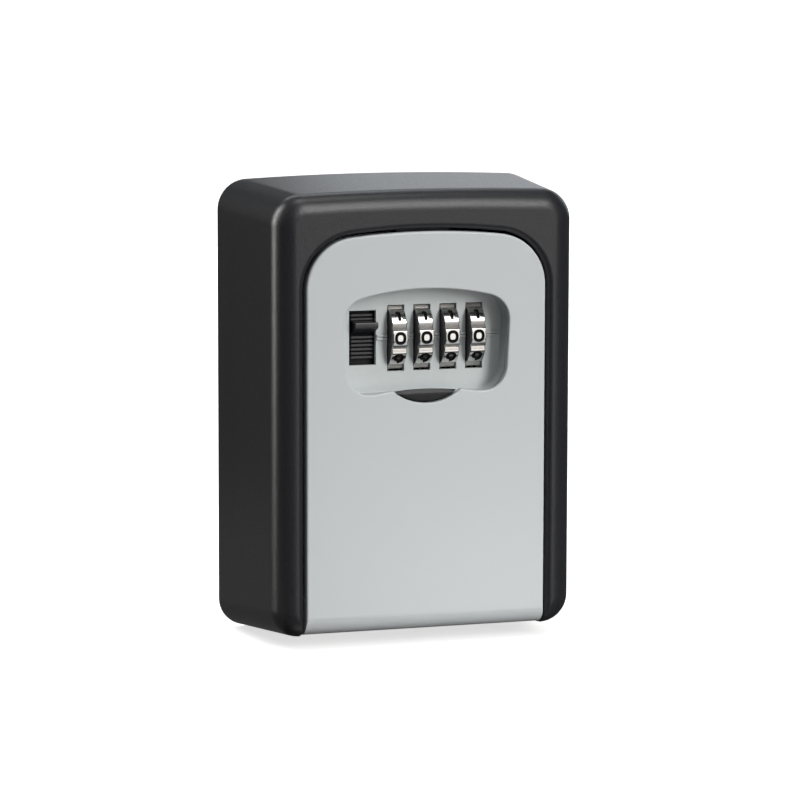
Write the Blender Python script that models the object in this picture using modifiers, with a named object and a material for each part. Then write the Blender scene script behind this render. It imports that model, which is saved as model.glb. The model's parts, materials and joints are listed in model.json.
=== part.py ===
"""Wall-mounted key lock box: a tapered cast body, a bottom-hinged door and a four-dial lock on the door.

The origin is the centre of the flat back face that goes against the wall. +Y points into the wall, so the door
faces -Y, +Z is up and +X is the viewer's right. Lengths are metres.
"""

import math

import bmesh
import bpy
from mathutils import Matrix, Vector

MM = 0.001
GAP = 0.3 * MM  # between pieces that touch
PAST = 1 * MM  # how far cutters and joined lumps run past the face they meet
OVERLAP = 0.1 * MM  # the same between two cutters, or where a whole millimetre is too far

# Body: a deep cast tray with a slightly arched top and a bezel round the door.
BODY_WIDTH = 85 * MM
BODY_HEIGHT = 115 * MM
BODY_DEPTH = 40 * MM
SIDE_DRAFT = math.radians(5.7)
TOP_DRAFT = math.radians(2.4)
BASE_DRAFT = math.radians(4.9)
BODY_ARCH_RADIUS = 750 * MM
BODY_TOP_RADIUS = 7.7 * MM
BODY_BASE_RADIUS = 7.1 * MM
FRONT_FILLET = 5 * MM
BACK_EDGE = 0.5 * MM
WALL = 2.5 * MM
BEZEL_THICKNESS = 3 * MM
BEZEL_EDGE = 1.5 * MM
WALL_CORNER = 1 * MM  # inside the tray, between its walls and its back
BEZEL_CORNER = 2.5 * MM  # inside the tray, between its walls and the bezel
WALL_HOLE_RADIUS = 2.5 * MM
WALL_HOLE_X = 24 * MM
WALL_HOLE_Z = 39 * MM

# Door: a plate with an arched top that wraps round its hinge barrel at the bottom.
DOOR_HALF_WIDTH = 31.1 * MM
DOOR_TOP = 45.75 * MM
DOOR_ARCH_RADIUS = 175 * MM
DOOR_TOP_RADIUS = 13 * MM
DOOR_GAP = 0.7 * MM
DOOR_EDGE = 0.6 * MM
SKIN = 1.6 * MM
BARREL_RADIUS = 5 * MM
BARREL_CLEARANCE = 0.6 * MM
FLANGE_DEPTH = 6.5 * MM
FLANGE_WALL = 1.8 * MM
FLANGE_INSET = 0.15 * MM
FLANGE_RISE = 3 * MM  # of its foot above the hinge
RAIL_GAP = 0.6 * MM
RAIL_THICKNESS = 1.2 * MM
RAIL_BACK = -34.4 * MM
HINGE_PIN_RADIUS = 1.2 * MM
HINGE_PIN_INNER = 24 * MM
HINGE_PIN_OUTER = 36.3 * MM
BARREL_BORE_INNER = 20 * MM
HINGE_BOSS_RADIUS = 3.6 * MM
HINGE_BOSS_INNER = 30 * MM
HINGE_BOSS_LENGTH = 15 * MM
SILL_BACK = 3 * MM  # behind the hinge
SILL_TOP = 2 * MM  # above the hinge

# Window in the door, with a notch for the shutter's thumb tab.
WINDOW_HALF_WIDTH = 21.75 * MM
WINDOW_TOP = 31.6 * MM
WINDOW_BOTTOM = 5.7 * MM
WINDOW_ARCH_RADIUS = 70 * MM
WINDOW_TOP_RADIUS = 7 * MM
WINDOW_BOTTOM_RADIUS = 6 * MM
WINDOW_TAPER = 2.3  # share of its width that the window loses for each metre downwards
WINDOW_WIDEST = 26 * MM
NOTCH_RADIUS = 14 * MM
NOTCH_DEPTH = 2.45 * MM
LIP_START = 15 * MM  # from the middle: outwards of it the lower edge is straight
LIP_RISE = 0.7 * MM  # of the lower edge on its way to the notch

# Lock: four dials on one shaft, behind the recessed floor of the housing.
DIAL_COUNT = 4
DIAL_AXIS_Y = -27.85 * MM
DIAL_AXIS_Z = 19.1 * MM
DIAL_PITCH = 6.85 * MM
FIRST_DIAL_X = -5.9 * MM
DIAL_RADIUS = 9.1 * MM
DIAL_THICKNESS = 4 * MM
DIAL_EDGE = 0.25 * MM
LANDS = 10
LAND_SHARE = 0.61
GROOVE_DEPTH = 0.5 * MM
GROOVE_FLANK = 0.85  # share of the groove's half width that slopes
DIAL_BORE = 2.75 * MM
CLUTCH_ROOT = 2.45 * MM  # where the clutch slots start, inside the bore
CLUTCH_SLOT_RADIUS = 4 * MM
CLUTCH_SLOT_WIDTH = 1.5 * MM
CLUTCH_DEPTH = 1.2 * MM
RING_RADIUS = 1.7 * MM
RING_THICKNESS = 0.6 * MM
RING_XS = {"left": -13.3 * MM, "right": 24.4 * MM}
RING_HALF_MOUTH = 0.9 * MM
SHAFT_RADIUS = 1.25 * MM
SLEEVE_RADIUS = 2.4 * MM
SLEEVE_X = (-3.35 * MM, 3.2 * MM)  # from the middle of its dial
GATE_RADIUS = 4.2 * MM
GATE_THICKNESS = 0.9 * MM
GATE_WIDTH = 2.1 * MM
DISC_ROOM = 0.35 * MM
KEY_RADIUS = 3.7 * MM
KEY_WIDTH = 1.1 * MM
KEY_CLEARANCE = 0.15 * MM

# Housing: tub on the door's inside that holds the lock.
HOUSING_FRONT = -37 * MM
HOUSING_BACK = -12.8 * MM
HOUSING_HALF_WIDTH = 24.1 * MM
HOUSING_BOTTOM = 1.5 * MM
HOUSING_TOP = 35.2 * MM
HOUSING_WALL = 1.6 * MM
FLOOR_FRONT = -33 * MM
FLOOR_BACK = -31.8 * MM
RECESS_MARGIN = 0.3 * MM
DIAL_SLOT = (4.4 * MM, 16.5 * MM)
DIAL_SLOT_Z = 18.8 * MM
BUTTON_X = -14.55 * MM
BUTTON_SLOT = (6.9 * MM, 13.6 * MM)
APRON_BOTTOM = -25 * MM
APRON_THICKNESS = 1.2 * MM
INDEX_OFFSET = 0.37 * MM
INDEX_HALF_WIDTH = 0.22 * MM
INDEX_HEIGHT = 0.3 * MM
INDEX_END = 1.5 * MM  # from the window's widest point
EAR_X = 27 * MM
EAR_ZS = (3.9 * MM, 31 * MM)
EAR_FRONT = -33.7 * MM
EAR_BACK = -32.2 * MM
EAR_HALF_HEIGHT = 2.2 * MM
EAR_REACH = 1.8 * MM  # past its screw
DOOR_BOSS_RADIUS = 2.2 * MM
DOOR_BOSS_BACK = -34 * MM
DOOR_BOSS_FLOOR = -38.4 * MM
PILLAR_X = 21.2 * MM
PILLAR_ZS = (5.2 * MM, 31.5 * MM)
PILLAR_SIZE = (4.2 * MM, 4.6 * MM)
PILLAR_FRONT = -28 * MM
PILLAR_HOLE_FRONT = -19 * MM
WEB_X = (-12.3 * MM, -10.9 * MM)
WEB_Y = (-29.6 * MM, -22 * MM)
COVER_THICKNESS = 1.2 * MM
LEVER_SLOT_X = (-10.8 * MM, -7 * MM)
LEVER_SLOT_Z = (15.9 * MM, 21.7 * MM)

# Screws
SCREW_RADIUS = 1 * MM
SCREW_HEAD_RADIUS = 2 * MM
SCREW_HEAD_HEIGHT = 1.2 * MM
SCREW_HOLE_RADIUS = SCREW_RADIUS + GAP
SCREW_HEAD_EDGE = 0.3 * MM
SCREW_RECESS = (1.1 * MM, 0.25 * MM)  # half length and half width of the cross's bars
SCREW_RECESS_FLOOR = 0.6 * MM
HOUSING_SCREW_LENGTH = 4.2 * MM
COVER_SCREW_LENGTH = 7 * MM

# Detent: a strip under the dials with a bent finger for each. The profile is (y, z).
DETENT_X = (-7.8 * MM, 16.9 * MM)
DETENT_Y = (-22.4 * MM, -18 * MM)
DETENT_Z = (3.4 * MM, 3.9 * MM)
DETENT_HALF_WIDTH = 1.2 * MM
DETENT_PROFILE = [
    (-21.9 * MM, 3.45 * MM), (-22.4 * MM, 3.5 * MM), (-26.2 * MM, 8.9 * MM),
    (-25.5 * MM, 9.8 * MM), (-24.8 * MM, 8.8 * MM), (-21.9 * MM, 3.85 * MM),
]

# Latch: plate behind the dials, shelf over the housing, tongue behind the bezel.
LATCH_TRAVEL = 5.2 * MM
PLATE_FRONT = -16.6 * MM
PLATE_BACK = -15.2 * MM
PLATE_HALF_WIDTH = 18.7 * MM
PLATE_BOTTOM = 27.6 * MM
PLATE_TOP = 33.2 * MM
LEG_BOTTOM = 14 * MM
LEG_WIDTH = 6 * MM
NECK_HALF_WIDTH = 9 * MM
NECK_GAP = 0.4 * MM
SHELF_Z = (41 * MM, 42.4 * MM)
TONGUE_HALF_WIDTH = 7 * MM
TONGUE_TOP = 50.8 * MM
TONGUE_Y = (-36.6 * MM, -34.6 * MM)
TONGUE_RAMP = (0.6 * MM, 2.6 * MM)  # what its back loses at the top, in depth and height
TONGUE_ROOM = 0.6 * MM
TONGUE_NOTCH = 6 * MM
FINGER_THICKNESS = 0.8 * MM
FINGER_HEIGHT = 2 * MM
FINGER_TIP = 1.5 * MM
TIP_GAP = 0.2 * MM
LATCH_SPRING_X = 15 * MM
LATCH_SPRING_RADIUS = 1.4 * MM
LATCH_SPRING_TURNS = 5
CLUTCH_SPRING_RADIUS = 2.1 * MM
CLUTCH_SPRING_TURNS = 2
SPRING_WIRE = 0.22 * MM

# Release button: a ribbed slide behind the floor, with one tall thumb rib above the dials' axis.
SLIDE_X = (-18.5 * MM, -10.5 * MM)
SLIDE_Y = (-30.7 * MM, -29.9 * MM)
SLIDE_Z = (9.2 * MM, 32.5 * MM)
RIB_X = (-17.1 * MM, -11.2 * MM)
RIB_FRONT = -31.5 * MM
RIB_PITCH = 1 * MM
RIB_HEIGHT = 0.56 * MM
RIB_STEPS = (5.5, 4.5, 0, -1, -2, -3, -4, -5)  # above the dials' axis, in pitches
THUMB_FRONT = FLOOR_FRONT - 2.4 * MM
THUMB_CORNER = 0.3 * MM
THUMB_FOOT = (0.5 * MM, 4.1 * MM)  # heights above the dials' axis, from the thumb rib's root to its tip
THUMB_NECK = (2.6 * MM, 4 * MM)
THUMB_TIP = (3 * MM, 3.7 * MM)
ARM_X = (-16.5 * MM, -14 * MM)
ARM_Z = (19 * MM, 23 * MM)
ARM_BACK = -14.4 * MM

# Change slide: low and high corners of its blade, of the stem through the cover and of the thumb pad.
CHANGE_BLADE = ((-10.45 * MM, -29.6 * MM, 15.2 * MM), (-9.55 * MM, -14 * MM, 22 * MM))
CHANGE_STEM = ((-10.4 * MM, -14.5 * MM, 16.3 * MM), (-8.75 * MM, -10 * MM, 21.3 * MM))
CHANGE_PAD = ((-12.4 * MM, -10.9 * MM, 15.4 * MM), (-6.8 * MM, -9.3 * MM, 22.2 * MM))

# Shutter: a sheet behind the door's plate, with a thumb tab whose lip stands in front of an arched step.
SHUTTER_HALF_WIDTH = 23.8 * MM
SHUTTER_Y = (-38.1 * MM, -37.3 * MM)
SHUTTER_Z = (-21.5 * MM, 5.4 * MM)
TAB_FRONT = -40.2 * MM
TAB_SECTIONS = [  # y, height of the ends of its top edge, and the arch's rise between them
    (TAB_FRONT, 5.55 * MM, 0),
    (-39.1 * MM, 5.55 * MM, 0),
    (-38.7 * MM, 6.1 * MM, 0.45 * MM),
    (-37.6 * MM, 6.1 * MM, 0.45 * MM),
]

FRONT = -BODY_DEPTH
BASE = -BODY_HEIGHT / 2
HINGE_Y = FRONT + BARREL_RADIUS
HINGE_Z = BASE + BODY_DEPTH * math.tan(BASE_DRAFT) + BARREL_RADIUS
DIAL_XS = [FIRST_DIAL_X + index * DIAL_PITCH for index in range(DIAL_COUNT)]
SHAFT_X = (-13.7 * MM, 25.4 * MM)

FACING = Matrix.Rotation(math.pi / 2, 4, "X")  # a flat outline's own X and Y become X and Z
SIDEWAYS = Matrix(((0, 0, 1, 0), (1, 0, 0, 0), (0, 1, 0, 0), (0, 0, 0, 1)))  # its X and Y become Y and Z

parts = None
cutters = None


# ---------------------------------------------------------------- outlines

def arc(centre, radius, start, end, steps):
    """Points of an arc in the plane, both ends included. Angles are radians."""
    angles = [start + (end - start) * step / steps for step in range(steps + 1)]
    return [(centre[0] + radius * math.cos(a), centre[1] + radius * math.sin(a)) for a in angles]


def arched_outline(half_width, bottom, top, arch_radius, top_radius, bottom_radius, steps=7):
    """Outline of a plate with a shallow arch on top. Every arc meets its neighbour on a common tangent."""
    arch_centre = top - arch_radius
    corner_x = half_width - top_radius
    corner_z = arch_centre + math.sqrt((arch_radius - top_radius) ** 2 - corner_x ** 2)
    meet = math.atan2(corner_z - arch_centre, corner_x)
    foot_x = half_width - bottom_radius
    foot_z = bottom + bottom_radius
    quarter = math.pi / 2
    points = arc((foot_x, foot_z), bottom_radius, -quarter, 0, steps)
    points += arc((corner_x, corner_z), top_radius, 0, meet, steps)
    points += arc((0, arch_centre), arch_radius, meet, math.pi - meet, 2 * steps)[1:-1]
    points += arc((-corner_x, corner_z), top_radius, math.pi - meet, math.pi, steps)
    points += arc((-foot_x, foot_z), bottom_radius, math.pi, 3 * quarter, steps)
    return points


def body_outline(y, inset=0.0, steps=7):
    """Section of the tapered body at depth y, moved in by inset."""
    return arched_outline(
        BODY_WIDTH / 2 + y * math.tan(SIDE_DRAFT) - inset,
        BASE - y * math.tan(BASE_DRAFT) + inset,
        BODY_HEIGHT / 2 + y * math.tan(TOP_DRAFT) - inset,
        BODY_ARCH_RADIUS,
        max(BODY_TOP_RADIUS - inset, 1 * MM),
        max(BODY_BASE_RADIUS - inset, 1 * MM),
        steps,
    )


def door_outline(inset=0.0, bottom=BASE - 5 * MM):
    return arched_outline(
        DOOR_HALF_WIDTH - inset, bottom, DOOR_TOP - inset, DOOR_ARCH_RADIUS, DOOR_TOP_RADIUS - inset, 1 * MM
    )


def tapered(outline):
    return [(x * (1 + WINDOW_TAPER * (z - WINDOW_WIDEST)), z) for x, z in outline]


def window_outline(margin=0.0):
    """The window without its notch."""
    return tapered(arched_outline(
        WINDOW_HALF_WIDTH + margin,
        WINDOW_BOTTOM - margin,
        WINDOW_TOP + margin,
        WINDOW_ARCH_RADIUS,
        WINDOW_TOP_RADIUS + margin,
        WINDOW_BOTTOM_RADIUS + margin,
    ))


def notch_arc(margin, top):
    """The notch's round bottom, up to this height."""
    centre = WINDOW_BOTTOM - NOTCH_DEPTH + NOTCH_RADIUS
    radius = NOTCH_RADIUS - margin
    reach = math.acos((centre - top) / radius)
    low = -math.pi / 2
    return arc((0, centre), radius, low - reach, low + reach, 12)


def notched_window(steps=6):
    """The window with its lower edge swept up to the two points of the notch."""
    notch = notch_arc(0, WINDOW_BOTTOM + LIP_RISE)
    cusp = notch[-1][0]
    lip = []
    for step in range(steps + 1):
        share = step / steps
        x = LIP_START + (cusp - LIP_START) * share
        lip.append((x, WINDOW_BOTTOM + LIP_RISE * share ** 2 * (3 - 2 * share)))
    right = tapered(lip)[::-1]
    left = [(-x, z) for x, z in reversed(right)]
    return left[:-1] + notch + right[1:] + window_outline()


def tab_outline(top, arch, steps=8):
    """Half-moon a gap smaller than the notch, under a top edge that arches between its two ends."""
    outline = notch_arc(GAP, top)
    end = outline[-1][0]
    for step in range(1, 2 * steps):
        share = 1 - step / steps
        outline.append((end * share, top + arch * (1 - share ** 2)))
    return outline


# ---------------------------------------------------------------- solids

def add(name, mesh, collection=None):
    obj = bpy.data.objects.new(name, mesh)
    (collection or parts).objects.link(obj)
    return obj


def from_bmesh(name, bm, collection=None):
    mesh = bpy.data.meshes.new(name)
    bmesh.ops.recalc_face_normals(bm, faces=bm.faces)
    bm.to_mesh(mesh)
    bm.free()
    return add(name, mesh, collection)


def box(name, low, high, collection=None):
    bm = bmesh.new()
    bmesh.ops.create_cube(bm, size=1)
    low, high = Vector(low), Vector(high)
    bmesh.ops.scale(bm, vec=high - low, verts=bm.verts)
    bmesh.ops.translate(bm, vec=(low + high) / 2, verts=bm.verts)
    return from_bmesh(name, bm, collection)


def rod(name, axis, centre, start, end, radius, collection=None, segments=16):
    """Cylinder along X or Y through centre, a (y, z) or an (x, z) pair."""
    bm = bmesh.new()
    bmesh.ops.create_cone(
        bm, cap_ends=True, segments=segments, radius1=radius, radius2=radius, depth=abs(end - start)
    )
    turn = Matrix.Rotation(math.pi / 2, 4, "Y" if axis == "X" else "X")
    middle = (start + end) / 2
    place = (middle, *centre) if axis == "X" else (centre[0], middle, centre[1])
    bmesh.ops.transform(bm, matrix=Matrix.Translation(place) @ turn, verts=bm.verts)
    return from_bmesh(name, bm, collection)


def loft(name, sections, collection=None):
    """Solid through rings of points in planes of constant y: sections is a list of (y, outline)."""
    bm = bmesh.new()
    rings = [[bm.verts.new((x, y, z)) for x, z in outline] for y, outline in sections]
    for near, far in zip(rings, rings[1:]):
        for index in range(len(near)):
            after = (index + 1) % len(near)
            bm.faces.new((near[index], near[after], far[after], far[index]))
    bm.faces.new(rings[0])
    bm.faces.new(rings[-1])
    return from_bmesh(name, bm, collection)


def plate(name, outlines, start, end, turn=FACING, collection=None):
    """Flat outlines, the second and later ones holes, given thickness from start to end along their normal."""
    curve = bpy.data.curves.new(name, "CURVE")
    curve.dimensions = "2D"
    curve.fill_mode = "BOTH"
    curve.extrude = abs(end - start) / 2
    for outline in outlines:
        spline = curve.splines.new("POLY")
        spline.points.add(len(outline) - 1)
        for point, (x, y) in zip(spline.points, outline):
            point.co = (x, y, 0, 1)
        spline.use_cyclic_u = True
    drawn = bpy.data.objects.new(name, curve)
    middle = (start + end) / 2
    offset = Matrix.Translation((0, middle, 0) if turn is FACING else (middle, 0, 0))
    drawn.matrix_world = offset @ turn
    parts.objects.link(drawn)
    solid = add(name, realised(drawn), collection)
    solid.matrix_world = offset @ turn
    bpy.data.objects.remove(drawn)
    solid.name = name
    return solid


def realised(obj):
    """A new mesh of the object with its modifiers applied and its loose caps welded."""
    bpy.context.view_layer.update()
    graph = bpy.context.evaluated_depsgraph_get()
    mesh = bpy.data.meshes.new_from_object(obj.evaluated_get(graph))
    bm = bmesh.new()
    bm.from_mesh(mesh)
    bmesh.ops.remove_doubles(bm, verts=bm.verts, dist=1e-7)
    bmesh.ops.recalc_face_normals(bm, faces=bm.faces)
    bm.to_mesh(mesh)
    bm.free()
    return mesh


def boolean(target, operation, *others):
    for other in others:
        modifier = target.modifiers.new(other.name, "BOOLEAN")
        modifier.operation = operation
        modifier.object = other
        other.hide_render = True
        other.display_type = "WIRE"
    return target


def cut(target, *others):
    return boolean(target, "DIFFERENCE", *others)


def join(target, *others):
    return boolean(target, "UNION", *others)


def coil(name, start, end, centre, radius, wire, turns, axis):
    """Compression spring along X or Z about centre, as a bevelled curve."""
    curve = bpy.data.curves.new(name, "CURVE")
    curve.dimensions = "3D"
    curve.bevel_depth = wire
    curve.bevel_resolution = 2
    curve.use_fill_caps = True
    count = int(turns * 10)
    spline = curve.splines.new("POLY")
    spline.points.add(count)
    for index, point in enumerate(spline.points):
        along = start + wire + (end - start - 2 * wire) * index / count
        angle = 2 * math.pi * turns * index / count
        a, b = centre[0] + radius * math.cos(angle), centre[1] + radius * math.sin(angle)
        point.co = (along, a, b, 1) if axis == "X" else (a, b, along, 1)
    return add(name, curve)


def finish_material(name, colour, roughness, metallic):
    material = bpy.data.materials.new(name)
    material.use_nodes = True
    shader = material.node_tree.nodes["Principled BSDF"]
    shader.inputs["Base Color"].default_value = (*colour, 1)
    shader.inputs["Roughness"].default_value = roughness
    shader.inputs["Metallic"].default_value = metallic
    return material


# ---------------------------------------------------------------- body

def make_body():
    fillet = [math.radians(angle) for angle in (0, 18, 36, 54, 72, 90)]
    sections = [(0, body_outline(0, BACK_EDGE)), (-BACK_EDGE, body_outline(-BACK_EDGE))]
    for angle in fillet:
        y = FRONT + FRONT_FILLET * (1 - math.sin(angle))
        sections.append((y, body_outline(y, FRONT_FILLET * (1 - math.cos(angle)))))
    body = loft("body_shell", sections)

    inside = FRONT + BEZEL_THICKNESS
    cavity = loft("cavity_cutter", [
        (y, body_outline(y, WALL + inset, 4)) for y, inset in (
            (-WALL, WALL_CORNER), (-WALL - WALL_CORNER, 0), (inside + 1.2 * BEZEL_CORNER, 0),
            (inside + 0.4 * BEZEL_CORNER, 0.36 * BEZEL_CORNER), (inside, BEZEL_CORNER),
        )
    ], cutters)
    for side, start in (("left", -HINGE_BOSS_INNER - HINGE_BOSS_LENGTH), ("right", HINGE_BOSS_INNER)):
        boss = rod(
            f"hinge_boss_{side}", "X", (HINGE_Y, HINGE_Z), start, start + HINGE_BOSS_LENGTH, HINGE_BOSS_RADIUS,
            cutters,
        )
        cut(cavity, boss)

    rounding = [math.radians(angle) for angle in (0, 30, 60, 90)]
    flare = []
    for angle in rounding:
        y = FRONT + BEZEL_EDGE * (1 - math.sin(angle))
        flare.append((y, door_outline(-DOOR_GAP - BEZEL_EDGE * (1 - math.cos(angle)))))
    flare.append((FRONT - PAST, flare[-1][1]))
    opening = loft("door_opening_cutter", [(inside + PAST, door_outline(-DOOR_GAP))] + flare, cutters)

    side = DOOR_HALF_WIDTH + DOOR_GAP
    barrel_room = rod(
        "barrel_room_cutter", "X", (HINGE_Y, HINGE_Z), -side, side, BARREL_RADIUS + BARREL_CLEARANCE, cutters, 48
    )
    sill = box(
        "sill_cutter", (-side, FRONT - PAST, BASE - PAST), (side, HINGE_Y + SILL_BACK, HINGE_Z + SILL_TOP), cutters
    )
    cut(body, cavity, opening, barrel_room, sill)

    for index, (x, z) in enumerate(((-1, -1), (1, -1), (-1, 1), (1, 1))):
        hole = rod(
            f"wall_hole_cutter_{index}", "Y", (x * WALL_HOLE_X, z * WALL_HOLE_Z), -WALL - PAST, PAST,
            WALL_HOLE_RADIUS, cutters,
        )
        cut(body, hole)
    reach = HINGE_PIN_OUTER + GAP
    pin_hole = rod(
        "pin_hole_cutter", "X", (HINGE_Y, HINGE_Z), -reach, reach, HINGE_PIN_RADIUS + GAP, cutters
    )
    cut(body, pin_hole)

    pins = []
    for side, sign in (("left", -1), ("right", 1)):
        pins.append(rod(
            f"hinge_pin_{side}", "X", (HINGE_Y, HINGE_Z), sign * HINGE_PIN_INNER, sign * HINGE_PIN_OUTER,
            HINGE_PIN_RADIUS,
        ))
    return [body], pins


# ---------------------------------------------------------------- door

def make_door():
    back = FRONT + SKIN
    wrap_end = 2 * math.pi + math.acos((back - HINGE_Y) / BARREL_RADIUS)
    profile = [(FRONT, DOOR_TOP + PAST)]
    profile += arc((HINGE_Y, HINGE_Z), BARREL_RADIUS, math.pi, wrap_end, 44)
    profile.append((back, DOOR_TOP + PAST))
    side = DOOR_HALF_WIDTH + PAST
    door = plate("door_panel", [profile], -side, side, SIDEWAYS)

    trim = loft("door_trim", [
        (FRONT - PAST, door_outline(DOOR_EDGE)),
        (FRONT, door_outline(DOOR_EDGE)),
        (FRONT + 0.3 * DOOR_EDGE, door_outline(0.3 * DOOR_EDGE)),
        (FRONT + DOOR_EDGE, door_outline()),
        (HINGE_Y + 2 * BARREL_RADIUS, door_outline()),
    ], cutters)
    boolean(door, "INTERSECT", trim)

    root = FRONT + SKIN / 2
    flange_bottom = HINGE_Z + FLANGE_RISE
    flange = plate(
        "door_flange",
        [
            door_outline(FLANGE_INSET, flange_bottom),
            door_outline(FLANGE_INSET + FLANGE_WALL, flange_bottom + FLANGE_WALL),
        ],
        root, FRONT + FLANGE_DEPTH, FACING, cutters,
    )
    join(door, flange)
    for sign in (-1, 1):
        inner_x = SHUTTER_HALF_WIDTH + RAIL_GAP
        low, high = sorted((sign * inner_x, sign * (inner_x + RAIL_THICKNESS)))
        rail = box(f"shutter_rail_{sign}", (low, root, APRON_BOTTOM), (high, RAIL_BACK, HOUSING_TOP), cutters)
        join(door, rail)
        for z in EAR_ZS:
            name = f"door_boss_{sign}_{z:.4f}"
            boss = rod(name, "Y", (sign * EAR_X, z), root, DOOR_BOSS_BACK, DOOR_BOSS_RADIUS, cutters)
            join(door, boss)

    window = loft("window_cutter", [(FRONT - PAST, notched_window()), (back + PAST, notched_window())], cutters)
    half_room = TONGUE_HALF_WIDTH + TONGUE_ROOM
    tongue_room = box(
        "tongue_notch_cutter", (-half_room, back, DOOR_TOP - TONGUE_NOTCH),
        (half_room, FRONT + FLANGE_DEPTH + PAST, DOOR_TOP + PAST), cutters,
    )
    cut(door, window, tongue_room)
    for sign in (-1, 1):
        bore = rod(
            f"barrel_bore_{sign}", "X", (HINGE_Y, HINGE_Z), sign * BARREL_BORE_INNER, sign * (DOOR_HALF_WIDTH + PAST),
            HINGE_PIN_RADIUS + GAP, cutters,
        )
        cut(door, bore)
        for z in EAR_ZS:
            name = f"door_boss_hole_{sign}_{z:.4f}"
            hole = rod(
                name, "Y", (sign * EAR_X, z), DOOR_BOSS_FLOOR, DOOR_BOSS_BACK + PAST, SCREW_HOLE_RADIUS, cutters
            )
            cut(door, hole)
    return door


# ---------------------------------------------------------------- housing and cover

def make_housing():
    side = HOUSING_HALF_WIDTH
    housing = box("dial_housing", (-side, HOUSING_FRONT, HOUSING_BOTTOM), (side, HOUSING_BACK, HOUSING_TOP))
    apron = box(
        "housing_apron", (-side, HOUSING_FRONT, APRON_BOTTOM),
        (side, HOUSING_FRONT + APRON_THICKNESS, HOUSING_BOTTOM + PAST), cutters,
    )
    join(housing, apron)
    for sign in (-1, 1):
        for z in EAR_ZS:
            low, high = sorted((sign * (side - PAST), sign * (EAR_X + EAR_REACH)))
            ear = box(
                f"housing_ear_{sign}_{z:.4f}", (low, EAR_FRONT, z - EAR_HALF_HEIGHT),
                (high, EAR_BACK, z + EAR_HALF_HEIGHT), cutters,
            )
            join(housing, ear)

    tub = box(
        "tub_cutter", (-side + HOUSING_WALL, FLOOR_BACK, HOUSING_BOTTOM + HOUSING_WALL),
        (side - HOUSING_WALL, HOUSING_BACK + PAST, HOUSING_TOP - HOUSING_WALL), cutters,
    )
    recess = loft("recess_cutter", [
        (HOUSING_FRONT - PAST, window_outline(RECESS_MARGIN)),
        (FLOOR_FRONT, window_outline(RECESS_MARGIN)),
    ], cutters)
    cut(housing, tub, recess)

    for sign in (-1, 1):
        for z in PILLAR_ZS:
            half_x, half_z = PILLAR_SIZE[0] / 2, PILLAR_SIZE[1] / 2
            pillar = box(
                f"pillar_{sign}_{z:.4f}", (sign * PILLAR_X - half_x, PILLAR_FRONT, z - half_z),
                (sign * PILLAR_X + half_x, HOUSING_BACK, z + half_z), cutters,
            )
            join(housing, pillar)
    web = box(
        "shaft_web", (WEB_X[0], WEB_Y[0], HOUSING_BOTTOM + HOUSING_WALL / 2),
        (WEB_X[1], WEB_Y[1], HOUSING_TOP - HOUSING_WALL / 2), cutters,
    )
    join(housing, web)
    for offset in (-INDEX_OFFSET, INDEX_OFFSET):
        z = DIAL_AXIS_Z + offset
        line = box(
            f"index_line_{offset:.5f}", (WEB_X[1], FLOOR_FRONT - INDEX_HEIGHT, z - INDEX_HALF_WIDTH),
            (WINDOW_HALF_WIDTH - INDEX_END, FLOOR_FRONT + INDEX_HEIGHT, z + INDEX_HALF_WIDTH), cutters,
        )
        join(housing, line)

    for index, x in enumerate(DIAL_XS):
        slot = box(
            f"dial_slot_{index}", (x - DIAL_SLOT[0] / 2, FLOOR_FRONT - PAST, DIAL_SLOT_Z - DIAL_SLOT[1] / 2),
            (x + DIAL_SLOT[0] / 2, FLOOR_BACK + PAST, DIAL_SLOT_Z + DIAL_SLOT[1] / 2), cutters,
        )
        relief = rod(
            f"dial_relief_{index}", "X", (DIAL_AXIS_Y, DIAL_AXIS_Z), x - DIAL_SLOT[0] / 2 + OVERLAP / 10,
            x + DIAL_SLOT[0] / 2 - OVERLAP / 10, DIAL_RADIUS + GAP, cutters, 40,
        )
        disc_room = rod(
            f"disc_room_{index}", "X", (DIAL_AXIS_Y, DIAL_AXIS_Z), x + DIAL_SLOT[0] / 2 - OVERLAP,
            x + DIAL_PITCH - DIAL_SLOT[0] / 2 + OVERLAP, GATE_RADIUS + DISC_ROOM, cutters, 32,
        )
        cut(housing, slot, relief, disc_room)
    half_x, half_z = BUTTON_SLOT[0] / 2, BUTTON_SLOT[1] / 2
    button_slot = box(
        "button_slot", (BUTTON_X - half_x, FLOOR_FRONT - PAST, DIAL_AXIS_Z - half_z),
        (BUTTON_X + half_x, FLOOR_BACK + PAST, DIAL_AXIS_Z + half_z), cutters,
    )
    latch_slot = box(
        "latch_slot", (-NECK_HALF_WIDTH - NECK_GAP, PLATE_FRONT - NECK_GAP, HOUSING_TOP - HOUSING_WALL - PAST),
        (NECK_HALF_WIDTH + NECK_GAP, PLATE_BACK + NECK_GAP, HOUSING_TOP + PAST), cutters,
    )
    shaft_hole = rod(
        "shaft_hole", "X", (DIAL_AXIS_Y, DIAL_AXIS_Z), SHAFT_X[0], SHAFT_X[1], SHAFT_RADIUS + GAP, cutters
    )
    cut(housing, button_slot, latch_slot, shaft_hole)
    for sign in (-1, 1):
        for z in PILLAR_ZS:
            hole = rod(
                f"pillar_hole_{sign}_{z:.4f}", "Y", (sign * PILLAR_X, z), PILLAR_HOLE_FRONT, HOUSING_BACK + PAST,
                SCREW_HOLE_RADIUS, cutters,
            )
            cut(housing, hole)
        for z in EAR_ZS:
            hole = rod(
                f"ear_hole_{sign}_{z:.4f}", "Y", (sign * EAR_X, z), EAR_FRONT - PAST, EAR_BACK + PAST,
                SCREW_HOLE_RADIUS, cutters,
            )
            cut(housing, hole)
    return housing


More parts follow.
